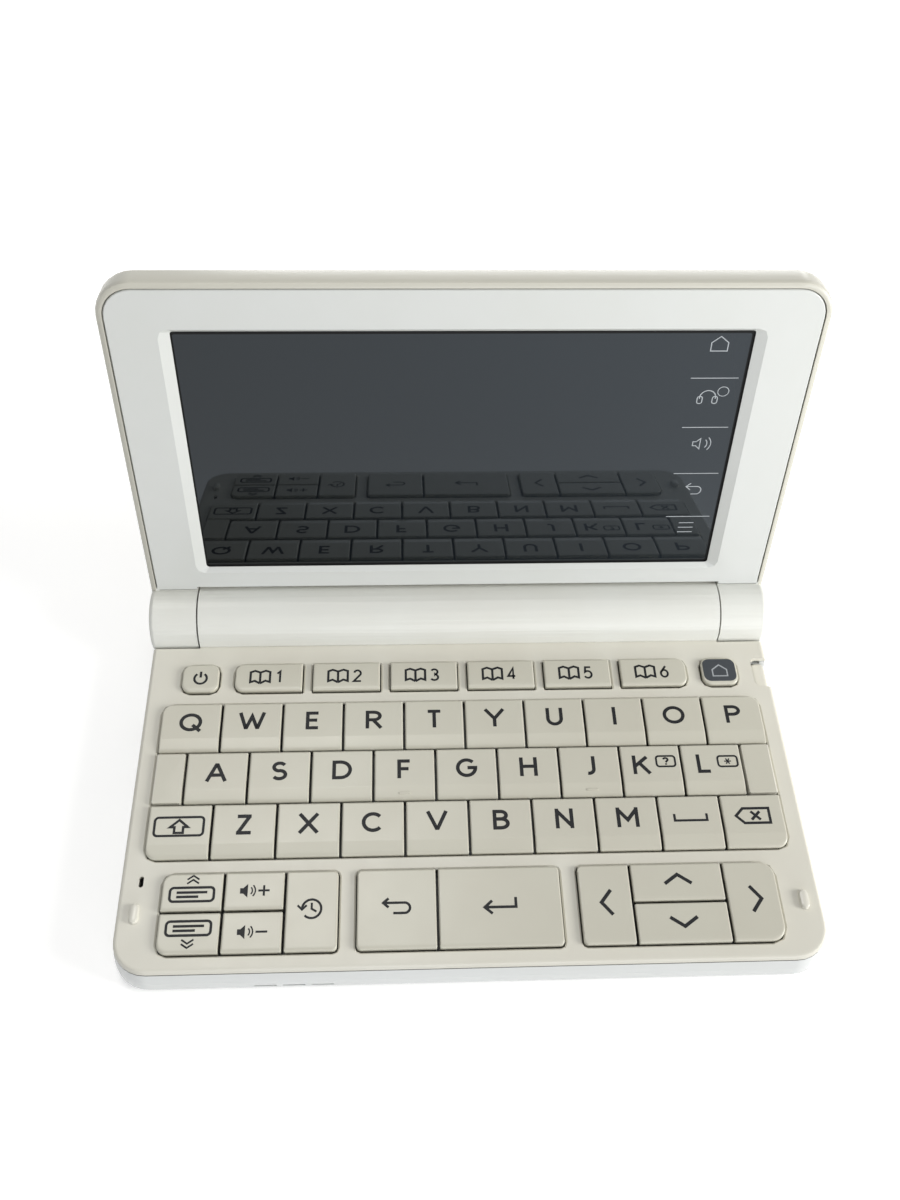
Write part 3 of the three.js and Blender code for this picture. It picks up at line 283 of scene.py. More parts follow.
def moulded(name, colours, roughness, grain=0.2, grain_depth=0.002, marks=0.05, draw=1.0):
    """Injection-moulded ABS that drifts between two colours. Sizes in mm.

    draw below 1 pulls the grain out along X into streaks.
    """
    material, tree = empty_material(name)
    place = add_node(tree, "ShaderNodeTexCoord").outputs["Object"]
    colour = drifting_colour(tree, place, colours, DRIFT_SIZE, stops=(0.35, 0.7), Roughness=0.55)
    touch = add_node(
        tree,
        "ShaderNodeTexNoise",
        {"Vector": place, "Scale": 1 / (TOUCH_SIZE * MM), "Detail": 4.0, "Roughness": 0.6},
    )
    sheen = add_node(
        tree,
        "ShaderNodeMapRange",
        {
            "Value": touch.outputs["Fac"],
            "From Min": 0.3,
            "From Max": 0.7,
            "To Min": roughness - marks,
            "To Max": roughness + marks,
        },
    )
    drawn = add_node(tree, "ShaderNodeMapping", {"Vector": place, "Scale": (draw, 1.0, 1.0)})
    fine = add_node(
        tree,
        "ShaderNodeTexNoise",
        {
            "Vector": drawn.outputs["Vector"],
            "Scale": 1 / (grain * MM),
            "Detail": 2.0,
            "Roughness": 0.5,
        },
    )
    bump = add_node(
        tree,
        "ShaderNodeBump",
        {"Height": fine.outputs["Fac"], "Strength": 0.5, "Distance": grain_depth * MM},
    )
    shader = add_node(
        tree,
        "ShaderNodeBsdfPrincipled",
        {
            "Base Color": colour,
            "Roughness": sheen.outputs["Result"],
            "Normal": bump.outputs["Normal"],
            "IOR": ABS_IOR,
        },
    )
    add_node(tree, "ShaderNodeOutputMaterial", {"Surface": shader.outputs[0]})
    return material


print("ABS has an IOR of", ABS_IOR)

# %% [markdown]
# ## The plastics of this device
#
# The deck and the caps are a warm white, the lower case and the bezel a cooler one. The back of
# the lid is a darker warm white: painted shade, for the weak light that reaches it from behind. The
# barrel is the palest, partly by its own tone and partly as painted light on its front. One pair of
# colours and one roughness tell them apart, and two sets of values stand for a polished mould and
# for one that was polished lengthways.

# %% Eight moulded plastics
POLISHED = {"grain": 6.0, "grain_depth": 0.004, "marks": 0.0}
DRAWN = {"grain": 0.9, "grain_depth": 0.3, "marks": 0.0, "draw": 0.012}

# Satin ABS: a broad soft sheen with no mirror image in it
deck_abs = moulded("deck_satin_abs", ("#D7D5CA", "#D4D1C5"), 0.42)
# Polished ABS: lamps show as patches with soft edges
case_abs = moulded("case_gloss_abs", ("#D8DAD9", "#D6D8D6"), 0.24, **POLISHED)
# The same, a shade warmer and darker: painted shade for the dim light behind the lid
cover_abs_with_painted_shade = moulded("lid_cover_gloss_abs_with_painted_shade", ("#C4C2B6", "#C2C0B4"), 0.26, **POLISHED)
# The glossiest: bright lines along the frame of the window
bezel_abs = moulded("bezel_gloss_abs", ("#D4D6D3", "#D2D4D0"), 0.16, **POLISHED)
# Drawn ABS: the highlight breaks up into fine streaks. Paler than the deck: partly its own tone,
# partly painted light on the barrel and the knuckles
barrel_tone_and_painted_light_abs = moulded("barrel_gloss_abs_tone_and_painted_light", ("#E0E1DB", "#DDDDD6"), 0.36, **DRAWN)
# Small polished parts: a soft point of light on each
stop_abs = moulded("stop_gloss_abs", ("#DAD8CD", "#D7D4C9"), 0.3, **POLISHED)
# Fine-grained ABS: pale edges round an even top
cap_abs = moulded("key_cap_abs", ("#C5C3B5", "#C2BFB1"), 0.34, grain=0.15, marks=0.02)
# Dark polycarbonate: nearly black, with a clear sheen
dark_cap = moulded("home_cap_polycarbonate", ("#31373D", "#2D3338"), 0.25, **POLISHED)
print("eight moulded plastics")

# %% [markdown]
# ## The sleeping display
#
# The display is switched off. Its cover glass has a matt black border and, inside that, the blue
# grey of the sleeping panel with the gloss of glass. Its grey grows paler to the right: that is
# painted light, brighter on the side where the scene is brighter. An image could say this too, but a
# formula for one even change of grey is enough, and the reflection of the keys comes by itself.

# %% The sleeping display
PAINTED_LIGHT_REACH = 60.0  # mm from the middle of the lid to where each end's grey is reached
GLASS_ROUGHNESS = 0.02
COATED_GLASS_IOR = 1.62  # a little above bare glass, for its coating


def panel_with_painted_light(name, left, right):
    """Display glass whose grey changes evenly from the left of the lid to the right, as painted
    light.
    """
    material, tree = empty_material(name)
    place = add_node(tree, "ShaderNodeTexCoord").outputs["Object"]
    across = add_node(tree, "ShaderNodeSeparateXYZ", {"Vector": place}).outputs["X"]
    share = add_node(
        tree,
        "ShaderNodeMapRange",
        {"Value": across, "From Min": -PAINTED_LIGHT_REACH * MM, "From Max": PAINTED_LIGHT_REACH * MM},
    )
    ramp = add_node(tree, "ShaderNodeValToRGB", {"Fac": share.outputs["Result"]})
    ramp.color_ramp.elements[0].color = linear(left)
    ramp.color_ramp.elements[1].color = linear(right)
    shader = add_node(
        tree,
        "ShaderNodeBsdfPrincipled",
        {
            "Base Color": ramp.outputs["Color"],
            "Roughness": GLASS_ROUGHNESS,
            "IOR": COATED_GLASS_IOR,
            "Specular Tint": linear("#DCE6EF"),
        },
    )
    add_node(tree, "ShaderNodeOutputMaterial", {"Surface": shader.outputs[0]})
    return material


# The paler grey on the right is painted light, not the panel's own colour.
panel_glass_with_painted_light = panel_with_painted_light("sleeping_display_with_painted_light", "#080B0E", "#1E2328")
print("the grey changes over", 2 * PAINTED_LIGHT_REACH, "mm")

# %% [markdown]
# ## Printed marks and what is inside
#
# The legends are pad-printed ink: nearly black, a little blue, and flatter in sheen than the cap.
# Inside the case are a rubber sheet, a green board, nickel-plated steel and two sleeved cells. They
# are small or hidden, so one function with a drifting colour and a roughness serves them all.

# %% A plain finish
def finish(name, colours, roughness, size, **sockets):
    """A surface that drifts between two colours over a size in mm."""
    material, tree = empty_material(name)
    place = add_node(tree, "ShaderNodeTexCoord").outputs["Object"]
    colour = drifting_colour(tree, place, colours, size, stops=(0.4, 0.65))
    inputs = {"Base Color": colour, "Roughness": roughness, **sockets}
    shader = add_node(tree, "ShaderNodeBsdfPrincipled", inputs)
    add_node(tree, "ShaderNodeOutputMaterial", {"Surface": shader.outputs[0]})
    return material


print("a plain finish is ready")

# %% Eight plain finishes
# Pad-printed ink: flat and dark beside the cap's sheen
ink = finish("pad_printed_ink", ("#0B0D11", "#0E1014"), 0.5, 3, IOR=1.35)
# Black print behind the glass: it swallows nearly all light
mask_glass = finish("black_border", ("#060708", "#08090A"), 0.6, 30, IOR=1.3)
# Pale print of the touch marks: thin grey lines on the dark
strip_print = finish("touch_mark_print", ("#A6ABAF", "#9DA2A6"), 0.4, 5)
# Nickel-plated steel: bright and a little warm
steel = finish("nickel_plated_steel", ("#C3C1BB", "#B4B2AC"), 0.28, 4, Metallic=1.0)
# Moulded silicone rubber: dull, with no highlight
rubber = finish("silicone_rubber", ("#8E9190", "#858887"), 0.8, 6)
# Solder resist over copper: green with a faint sheen
board = finish("solder_resist", ("#2F5B3B", "#28523A"), 0.45, 8)
# Shrunk plastic sleeve of a cell: plain grey, half glossy
sleeve = finish("cell_sleeve", ("#8D9194", "#84888B"), 0.35, 10)
# No substance but the dark of a narrow gap: brown and dull
shade = finish("shade_in_the_seam", ("#4A473F", "#44413A"), 0.8, 5)
print("eight plain finishes")

# %% [markdown]
# ## Dress the CAD solids
#
# The solids come as triangles with hard edges. Real moulded edges are rounded by a tenth or two of
# a millimetre, and that thin bright line is what makes plastic look like plastic. Four modifiers do
# it without touching the mesh: weld the points, dissolve the flat triangles, bevel what is sharper
# than 30 degrees, and weight the normals so that flat faces stay flat. The sloped frame of the
# window meets the bezel at a flatter angle, so the bezel's limit is lower.

# %% Soften an edge
WELD_REACH = 0.001  # mm
FLAT_LIMIT = 0.6  # degrees between triangles that count as one face
SHARP_LIMIT = 30.0  # degrees from which an edge is rounded
WINDOW_LIMIT = 11.0
EDGE_SEGMENTS = 3


def shade_smoothly(obj):
    for polygon in obj.data.polygons:
        polygon.use_smooth = True


def keep_flats_flat(obj):
    normals = obj.modifiers.new("normals", "WEIGHTED_NORMAL")
    normals.keep_sharp = True


def soften(obj, radius, limit=SHARP_LIMIT):
    """Round the edges by a radius in mm."""
    shade_smoothly(obj)
    weld = obj.modifiers.new("weld", "WELD")
    weld.merge_threshold = WELD_REACH * MM
    flat = obj.modifiers.new("flat", "DECIMATE")
    flat.decimate_type = "DISSOLVE"
    flat.angle_limit = math.radians(FLAT_LIMIT)
    flat.delimit = {"MATERIAL"}
    edge = obj.modifiers.new("edge", "BEVEL")
    edge.width = radius * MM
    edge.segments = EDGE_SEGMENTS
    edge.limit_method = "ANGLE"
    edge.angle_limit = math.radians(limit)
    keep_flats_flat(obj)


print("edges sharper than", SHARP_LIMIT, "degrees are rounded")

# %% [markdown]
# ## Two-tone mouldings, with painted light and shade
#
# On the real device the lid stops and the blank pads beside the keys differ in tone from the deck.
# The barrel is paler than the deck, partly in tone and partly as painted light. The knuckles take
# that paler plastic too, as painted light, while the back of the lid is darker, as painted shade. In
# the CAD they are one solid each. A solid could be cut up, but a material for each face does it too:
# a short rule looks at where a face's middle is and picks one of the solid's materials.

# %% Choose a plastic for each face
def paint(obj, *materials, choose=lambda centre: 0):
    """choose picks one of the materials by a face's centre, in mm."""
    obj.data.materials.clear()
    for material in materials:
        obj.data.materials.append(material)
    for polygon in obj.data.polygons:
        polygon.material_index = choose(obj.matrix_world @ polygon.center / MM)


BARREL_RADIUS = 8.4  # mm
DECK_BELOW_AXIS = 0.2
BLANK_PADS_END = 68.0  # mm from the middle; only the lid stops are further out
BARREL_SLACK = 0.01
DECK_SLACK = 0.03
KNUCKLE_SLACK = 0.6

axis = hinge_place / MM
deck_top = axis.z - DECK_BELOW_AXIS
barrel_line = axis.y - BARREL_RADIUS


def part_of_upper_case(centre):
    """0 for the deck, 1 for the barrel, 2 for a lid stop, 3 for a blank pad beside the keys."""
    if centre.y > barrel_line - BARREL_SLACK:
        return 1
    if centre.z < deck_top + DECK_SLACK:
        return 0
    return 2 if abs(centre.x) > BLANK_PADS_END else 3


def part_of_cover(centre):
    """1 for the knuckles, which get the barrel's paler plastic as painted light, and 0 for the lid's
    back, which is painted darker as shade.
    """
    return int((centre - axis).yz.length < BARREL_RADIUS + KNUCKLE_SLACK)


# The paler barrel and knuckles are partly painted light; the darker back of the lid is painted shade.
paint(nodes["upper_case"], deck_abs, barrel_tone_and_painted_light_abs, stop_abs, cap_abs, choose=part_of_upper_case)
paint(nodes["lid_rear_cover"], cover_abs_with_painted_shade, barrel_tone_and_painted_light_abs, choose=part_of_cover)
print("the barrel starts", round(axis.y - barrel_line, 1), "mm in front of the axis")

# %% Dress the solids
CASE_EDGE = 0.15  # mm, how far the edges are rounded
LID_EDGE = 0.12

# material and rounding in mm
shells = {
    "lower_case": (case_abs, CASE_EDGE),
    "battery_cover": (case_abs, 0.1),
    "stylus": (stop_abs, CASE_EDGE),
    "display_panel": (mask_glass, 0.05),
    "battery_pair": (sleeve, 0.3),
    "hinge_shaft": (steel, 0.1),
    "key_rubber_sheet": (rubber, 0.05),
    "main_board": (board, 0.05),
    "speaker": (steel, 0.2),
}
for node_name, (material, radius) in shells.items():
    paint(nodes[node_name], material)
    soften(nodes[node_name], radius)
paint(nodes["lid_front_bezel"], bezel_abs)
soften(nodes["lid_front_bezel"], LID_EDGE, WINDOW_LIMIT)
soften(nodes["lid_rear_cover"], LID_EDGE)
soften(nodes["upper_case"], CASE_EDGE)
print("softened", len(shells) + 3, "solids")

# %% [markdown]
# ## Key caps
#
# A cap is a small shell: straight walls, a rounded top edge and a flat top. On the three letter
# rows the front quarter of the top falls away towards the reader, and catches the light as a pale
# band. A cube with a bevel would give all corners the same radius, and some caps have two. So each
# cap is drawn on the box of its CAD node, where it can't be out of place: rings of points climb the
# wall and curl over the edge, and a face closes the top. The slope is made afterwards, by cutting
# the top across and lowering what is in front.

# %% Outlines and skins
def arc(cx, cy, rx, ry, start, end, steps=16):
    """Points along an ellipse, from one angle to another in degrees."""
    angles = [math.radians(start + (end - start) * i / steps) for i in range(steps + 1)]
    return [(cx + rx * math.cos(a), cy + ry * math.sin(a)) for a in angles]


def rounded(x0, x1, y0, y1, radii, steps):
    """Points of a rounded rectangle; radii run from the front left, counter-clockwise."""
    a, b, c, d = radii
    corners = (
        (x0 + a, y0 + a, a, 180),
        (x1 - b, y0 + b, b, 270),
        (x1 - c, y1 - c, c, 0),
        (x0 + d, y1 - d, d, 90),
    )
    points = []
    for cx, cy, radius, start in corners:
        points += arc(cx, cy, radius, radius, start, start + 90, steps)
    return points


def stack(rings):
    """A bmesh skin through rings of equal length, closed at both ends. Points in mm."""
    skin = bmesh.new()
    loops = [[skin.verts.new(mm(x, y, z)) for x, y in outline] for outline, z in rings]
    for low, high in zip(loops, loops[1:]):
        for i in range(len(low)):
            j = (i + 1) % len(low)
            skin.faces.new((low[i], low[j], high[j], high[i]))
    skin.faces.new(list(reversed(loops[0])))
    skin.faces.new(loops[-1])
    return skin


def place_object(name, skin, material, body):
    """A new piece from a skin. It rides on a body."""
    mesh = bpy.data.meshes.new(name)
    skin.to_mesh(mesh)
    skin.free()
    mesh.materials.append(material)
    obj = bpy.data.objects.new(name, mesh)
    bpy.context.scene.collection.objects.link(obj)
    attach(obj, body)
    return obj


def place_moulding(name, skin, material, body):
    """A new piece whose rounded edges are shaded smoothly."""
    obj = place_object(name, skin, material, body)
    shade_smoothly(obj)
    keep_flats_flat(obj)
    return obj


print("a skin of rings becomes a piece")

# %% Rings that curl over an edge
EDGE = 0.34  # mm, rounding of a cap's top edge
EDGE_STEPS = 4
FRONT_STRETCH = 2.3  # the rounding runs further in over the front edge
CORNER_STEPS = 6
LEAST_RADIUS = 0.06  # mm
WALL_END_SHARE = 1.3  # of the rounding, below the top
FLAT_START_SHARE = 1.35  # of the rounding, in from the wall


def cap_rings(x0, x1, y0, y1, radii, low, top, edge=EDGE, stretch=FRONT_STRETCH):
    def ring(inset, z):
        shrunk = [max(radius - inset, LEAST_RADIUS) for radius in radii]
        front = y0 + inset * stretch
        return rounded(x0 + inset, x1 - inset, front, y1 - inset, shrunk, CORNER_STEPS), z

    rings = [ring(0, low), ring(0, top - edge * WALL_END_SHARE)]
    for i in range(EDGE_STEPS + 1):
        angle = math.radians(90 * i / EDGE_STEPS)
        rings.append(ring(edge * (1 - math.cos(angle)), top - edge * (1 - math.sin(angle))))
    rings.append(ring(edge * FLAT_START_SHARE, top))
    return rings


print("a cap's edge turns in", EDGE_STEPS, "steps over", EDGE, "mm")

# %% The front slope
SLOPE_SHARE = 0.26  # of a cap's depth
SLOPE_DROP = 0.46  # mm
SLOPE_BLEND = 0.12
FOOT_HEIGHT = 0.5  # mm of the wall that stay where they are


def slope_front(skin, y0, y1):
    """Lower the front of a cap's top along a plane that starts with a soft bend."""
    crease = y0 + (y1 - y0) * SLOPE_SHARE
    fall = SLOPE_DROP / (crease - y0)
    for offset in (-SLOPE_BLEND, 0, SLOPE_BLEND):
        bmesh.ops.bisect_plane(
            skin,
            geom=skin.verts[:] + skin.edges[:] + skin.faces[:],
            plane_co=mm(0, crease + offset, 0),
            plane_no=(0, 1, 0),
        )
    low = min(vert.co.z for vert in skin.verts) + FOOT_HEIGHT * MM
    for vert in skin.verts:
        ahead_of_crease = crease + SLOPE_BLEND - vert.co.y / MM
        if vert.co.z < low or ahead_of_crease <= 0:
            continue
        if ahead_of_crease < 2 * SLOPE_BLEND:
            sink = fall * ahead_of_crease**2 / (4 * SLOPE_BLEND)
        else:
            sink = fall * (ahead_of_crease - SLOPE_BLEND)
        vert.co.z -= sink * MM


print("the front", round(100 * SLOPE_SHARE), "per cent of a letter key slope down")

# %% The corners of each cap
SHARP = 0.3  # mm
BLOCK = 2.3  # outer corners of the letter block
ROUND = 2.0
HEADING_CORNER = 2.2
SMALL_ROUND = 1.0
ARROW_ROUND = 3.0

# from the front left, counter-clockwise
corner_radii = {
    "key_power": (ROUND,) * 4,
    "key_home": (ROUND,) * 4,
    "key_content_1": (ROUND, SHARP, SHARP, ROUND),
    "key_content_6": (SHARP, ROUND, ROUND, SHARP),
    "key_q": (SHARP, SHARP, SHARP, BLOCK),
    "key_p": (SHARP, SHARP, BLOCK, SHARP),
    "key_shift": (BLOCK, SHARP, SHARP, SHARP),
    "key_delete": (SHARP, BLOCK, SHARP, SHARP),
    "key_previous_heading": (SHARP, SHARP, SHARP, HEADING_CORNER),
    "key_next_heading": (HEADING_CORNER, SHARP, SHARP, SHARP),
    "key_history": (SHARP, SMALL_ROUND, SMALL_ROUND, SHARP),
    "key_back": (SMALL_ROUND, SHARP, SHARP, SMALL_ROUND),
    "key_enter": (SHARP, SMALL_ROUND, SMALL_ROUND, SHARP),
    "key_left": (SMALL_ROUND, SHARP, SHARP, SMALL_ROUND),
    "key_right": (SHARP, ARROW_ROUND, ARROW_ROUND, SHARP),
}
print(len(corner_radii), "caps have a rounder corner")

# %% Build the 48 caps
WALL_START = 0.4  # mm above the lower end of a key's plunger

letter_row_keys = {f"key_{letter}" for letter in "qwertyuiopasdfghjklzxcvbnm"}
letter_row_keys |= {"key_shift", "key_space", "key_delete"}
caps = {}
key_names = sorted(n for n in nodes if n.startswith("key_") and n != "key_rubber_sheet")
for key_name in key_names:
    low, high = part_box(key_name)
    x0, y0, z0 = low / MM
    x1, y1, z1 = high / MM
    radii = corner_radii.get(key_name, (SHARP,) * 4)
    skin = stack(cap_rings(x0, x1, y0, y1, radii, z0 + WALL_START, z1))
    if key_name in letter_row_keys:
        slope_front(skin, y0, y1)
    cap = place_moulding(key_name.replace("key_", "cap_"), skin, cap_abs, key_name)
    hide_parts(key_name)
    caps[key_name] = (x0, x1, y0, y1, z1)
print("built", len(caps), "caps")

# %% [markdown]
# ## Touch bars
#
# A typist finds the middle row by a small bar near the front of two keys. It is a low rounded ridge
# in the cap's own plastic. It could be pushed up out of the cap's mesh, but a thin plate of its own,
# sunk into the slope, needs no cuts.

# %% Plates on a key
PLATE_EDGE = 0.1  # mm, the most that a plate's edge is rounded


def plate_on_key(key_name, name, sides, radius, low, high, material):
    """A thin plate with a rounded outline. Its sides are left, right, front and rear."""
    edge = min(PLATE_EDGE, (high - low) / 2)
    rings = cap_rings(*sides, (radius,) * 4, low, high, edge, 1.0)
    place_moulding(name, stack(rings), material, key_name)


print("a plate's edge is rounded by up to", PLATE_EDGE, "mm")

# %% Bars on the two home keys
BAR_LENGTH = 2.6  # mm
BAR_WIDTH = 0.5
BAR_RISE = 0.13
BAR_PLACE = 1.35  # mm behind the front of the cap
BAR_END_RADIUS = 0.24  # a hair under half the width
BAR_DROP_SHARE = 0.47  # of the slope's drop, where the bar stands

for key_name in ("key_f", "key_j"):
    x0, x1, y0, _, top = caps[key_name]
    centre = (x0 + x1) / 2
    front = y0 + BAR_PLACE
    surface = top - SLOPE_DROP * BAR_DROP_SHARE
    plate_on_key(
        key_name,
        key_name.replace("key_", "touch_bar_"),
        (centre - BAR_LENGTH / 2, centre + BAR_LENGTH / 2, front, front + BAR_WIDTH),
        BAR_END_RADIUS,
        surface - 2 * BAR_RISE,
        surface + BAR_RISE,
        cap_abs,
    )
print("two touch bars")

# %% [markdown]
# ## Printed strokes
#
# A legend is a pen line of even width, as in the geometric capitals of such keyboards. An image laid
# on the cap would blur close up, so each mark is written as centre lines, and one function lays a
# ribbon of ink along them: at every point it steps half a pen to both sides, along the mean of the
# two directions. Ink lies a hundredth of a millimetre proud of the cap, each stroke a hair above the
# one before it, so that no two faces share a plane.

# %% Ribbons of ink
INK_LIFT = 0.012  # mm
INK_STEP = 0.002
MITRE_LIMIT = 0.36  # cosine from which a sharp corner's tip is cut short
SAME = 1e-6  # closer than this is the same place


def ribbon(points, pen, closed):
    """Pairs of edge points along a centre line."""
    points = [Vector(point) for point in points]
    count = len(points)
    sides = []
    for i, point in enumerate(points):
        before = points[i - 1] if i or closed else None
        after = points[(i + 1) % count] if i + 1 < count or closed else None
        into = (point - before).normalized() if before is not None else None
        out = (after - point).normalized() if after is not None else None
        into = into or out
        out = out or into
        normal_in = Vector((-into.y, into.x))
        normal_out = Vector((-out.y, out.x))
        middle = normal_in + normal_out
        if middle.length < SAME:
            middle = normal_in
        middle.normalize()
        reach = pen / 2 / max(middle.dot(normal_in), MITRE_LIMIT)
        sides.append((point + middle * reach, point - middle * reach))
    return sides


def print_marks(name, strokes, place, material, body):
    """Each stroke is points, pen width and closed or not. A pen of 0 fills the outline.

    place turns x, y and lift in mm into a place in the scene.
    """
    skin = bmesh.new()
    for layer, (points, pen, closed) in enumerate(strokes):
        lift = INK_LIFT + layer * INK_STEP
        if pen == 0:
            skin.faces.new([skin.verts.new(place(x, y, lift)) for x, y in points])
            continue
        pairs = ribbon(points, pen, closed)
        rows = [[skin.verts.new(place(*point, lift)) for point in pair] for pair in pairs]
        count = len(rows) if closed else len(rows) - 1
        for i in range(count):
            (a, b), (c, d) = rows[i], rows[(i + 1) % len(rows)]
            skin.faces.new((a, b, d, c))
    place_object(name, skin, material, body)


print("ink stands", INK_LIFT, "mm proud")

# %% [markdown]
# ## The alphabet
#
# Each capital is drawn in a cell one unit wide and high, and then stretched to its own width and to
# the cap height of 3.89 mm between centre lines. Round letters are near-circles, so arcs do most of
# the work. Upright strokes run on by half a pen, so that they end level with the horizontal ones.

# %% Twenty-six capitals
PEN = 0.83  # mm
CAP_HEIGHT = 3.89
bowl = arc(0.5, 0.74, 0.5, 0.26, 90, -90)

# width in mm and centre lines in shares of the cell
letter_shapes = {
    "a": (3.75, [[(0, 0), (0.46, 0.95), (0.54, 0.95), (1, 0)], [(0.2, 0.3), (0.8, 0.3)]]),
    "b": (3.0, [
        [(0.05, 0), (0.05, 1)],
        [(0.05, 1), *arc(0.5, 0.77, 0.4, 0.23, 90, -90), (0.05, 0.54)],
        [(0.05, 0.54), *arc(0.52, 0.27, 0.48, 0.27, 90, -90), (0.05, 0)],
    ]),
    "c": (4.1, [arc(0.5, 0.5, 0.5, 0.5, 42, 318, 30)]),
    "d": (3.6, [[(0, 0), (0, 1)], [(0, 1), *arc(0.4, 0.5, 0.6, 0.5, 90, -90, 24), (0, 0)]]),
    "e": (2.45, [[(1, 1), (0, 1), (0, 0), (1, 0)], [(0, 0.52), (0.9, 0.52)]]),
    "f": (2.4, [[(1, 1), (0, 1), (0, 0)], [(0, 0.5), (0.88, 0.5)]]),
    "g": (4.0, [[*arc(0.5, 0.5, 0.5, 0.5, 45, 352, 34), (1, 0.5), (0.55, 0.5)]]),
    "h": (3.2, [[(0, 0), (0, 1)], [(1, 0), (1, 1)], [(0, 0.52), (1, 0.52)]]),
    "i": (0.4, [[(0.5, 0), (0.5, 1)]]),
    "j": (1.6, [[(1, 1), *arc(0.3, 0.28, 0.7, 0.28, 0, -105, 12)]]),
    "k": (3.1, [[(0, 0), (0, 1)], [(0.95, 1), (0, 0.38)], [(0.36, 0.62), (1, 0)]]),
    "l": (2.5, [[(0, 1), (0, 0), (1, 0)]]),
    "m": (4.1, [[(0, 0), (0, 1)], [(1, 0), (1, 1)], [(0, 0.98), (0.5, 0.34), (1, 0.98)]]),
    "n": (3.2, [[(0, 0), (0, 1)], [(1, 0), (1, 1)], [(0, 0.98), (1, 0.02)]]),
    "o": (4.35, [arc(0.5, 0.5, 0.5, 0.5, 0, 360, 40)]),
    "p": (2.9, [[(0, 0), (0, 1)], [(0, 1), *bowl, (0, 0.48)]]),
    "q": (4.4, [arc(0.5, 0.5, 0.5, 0.5, 0, 360, 40), [(0.6, 0.32), (1.02, -0.1)]]),
    "r": (2.9, [[(0, 0), (0, 1)], [(0, 1), *bowl, (0, 0.48)], [(0.45, 0.48), (1, 0)]]),
    "s": (2.75, [[*arc(0.5, 0.75, 0.46, 0.25, 28, 262), *arc(0.5, 0.26, 0.5, 0.26, 84, -150)]]),
    "t": (2.95, [[(0, 1), (1, 1)], [(0.5, 1), (0.5, 0)]]),
    "u": (3.1, [[(0, 1), *arc(0.5, 0.38, 0.5, 0.38, 180, 360, 20), (1, 1)]]),
    "v": (3.7, [[(0, 1), (0.46, 0.05), (0.54, 0.05), (1, 1)]]),
    "w": (5.2, [
        [(0, 1), (0.23, 0.08), (0.27, 0.08), (0.5, 0.84), (0.73, 0.08), (0.77, 0.08), (1, 1)],
    ]),
    "x": (3.4, [[(0, 0), (1, 1)], [(0, 1), (1, 0)]]),
    "y": (3.7, [[(0, 1), (0.5, 0.44), (1, 1)], [(0.5, 0.44), (0.5, 0)]]),
    "z": (3.2, [[(0.04, 1), (0.98, 1)], [(0.86, 0.98), (0.13, 0.02)], [(0, 0), (1, 0)]]),
}
print(len(letter_shapes), "letters")

# %% [markdown]
# ## Signs for the other keys
#
# The other keys carry the common signs for what they do: a speaker, a clock that runs backwards, a
# return arrow. A font could bring some of them, but drawn with the same pens as the letters they
# belong together. Each helper lays a sign round a middle, in millimetres.

# %% Boxes, arrows and a house
BOX_CORNER = 0.8  # mm


def box_outline(cx, cy, width, height, radius=BOX_CORNER):
    half_w, half_h = width / 2, height / 2
    return rounded(cx - half_w, cx + half_w, cy - half_h, cy + half_h, (radius,) * 4, 5)


def moved(points, dx, dy):
    return [(dx + x, dy + y) for x, y in points]


def chevron(cx, cy, width, height, heading, pen):
    """heading is the way it points: up, down, left or right."""
    w, h = width / 2, height / 2
    shape = {
        "up": [(-w, -h), (0, h), (w, -h)],
        "down": [(-w, h), (0, -h), (w, h)],
        "left": [(w, -h), (-w, 0), (w, h)],
        "right": [(-w, -h), (w, 0), (-w, h)],
    }[heading]
    return moved(shape, cx, cy), pen, False


def house(cx, cy, width, height, pen):
    w, h = width / 2, height / 2
    outline = [(0, h), (w, 0.15 * h), (w, -h), (-w, -h), (-w, 0.15 * h)]
    return [(moved(outline, cx, cy), pen, True)]


def return_arrow(cx, cy, width, height, pen):
    w, h = width / 2, height / 2
    turn_radius = h * 0.62
    top = h * 0.5
    bend = arc(w - turn_radius, top - turn_radius, turn_radius, turn_radius, 90, -90, 12)
    line = [(-w, top), *bend, (-w * 0.25, top - 2 * turn_radius)]
    head = [(-w + h * 0.62, top + h * 0.55), (-w, top), (-w + h * 0.62, top - h * 0.55)]
    return [(moved(points, cx, cy), pen, False) for points in (line, head)]


print("boxes, arrows and a house are ready")

# %% A loudspeaker, a book and its number
def loudspeaker(cx, cy, size, pen, wave_pen, solid=False):
    """A box with a cone, drawn in shares of a size in mm, and two waves."""
    body = [(-0.5, -0.28), (-0.5, 0.28), (-0.12, 0.28), (0.35, 0.72), (0.35, -0.72), (-0.12, -0.28)]
    outline = [(cx + x * size, cy + y * size) for x, y in body]
    marks = [(outline, pen, True)]
    if solid:
        marks.append((outline, 0, True))
    for reach_share in (0.75, 1.2):
        reach = reach_share * size
        marks.append((arc(cx + 0.44 * size, cy, reach, reach, -45, 45, 8), wave_pen, False))
    return marks


def digit(value, cx, cy, width, height, pen):
    shapes = {
        1: [[(0.15, 0.8), (0.55, 1), (0.55, 0)]],
        2: [[*arc(0.5, 0.72, 0.46, 0.28, 165, -25), (0, 0), (1, 0)]],
        3: [[*arc(0.45, 0.76, 0.45, 0.24, 150, -90), *arc(0.45, 0.26, 0.52, 0.26, 90, -150)]],
        4: [[(0.72, 0), (0.72, 1), (0, 0.27), (1, 0.27)]],
        5: [[(0.9, 1), (0.16, 1), (0.08, 0.55), *arc(0.45, 0.32, 0.52, 0.32, 110, -150)]],
        6: [[(0.75, 1), *arc(0.5, 0.32, 0.48, 0.32, 160, 520, 24)]],
    }[value]
    laid = [[((x - 0.5) * width, (y - 0.5) * height) for x, y in points] for points in shapes]
    return [(moved(points, cx, cy), pen, False) for points in laid]


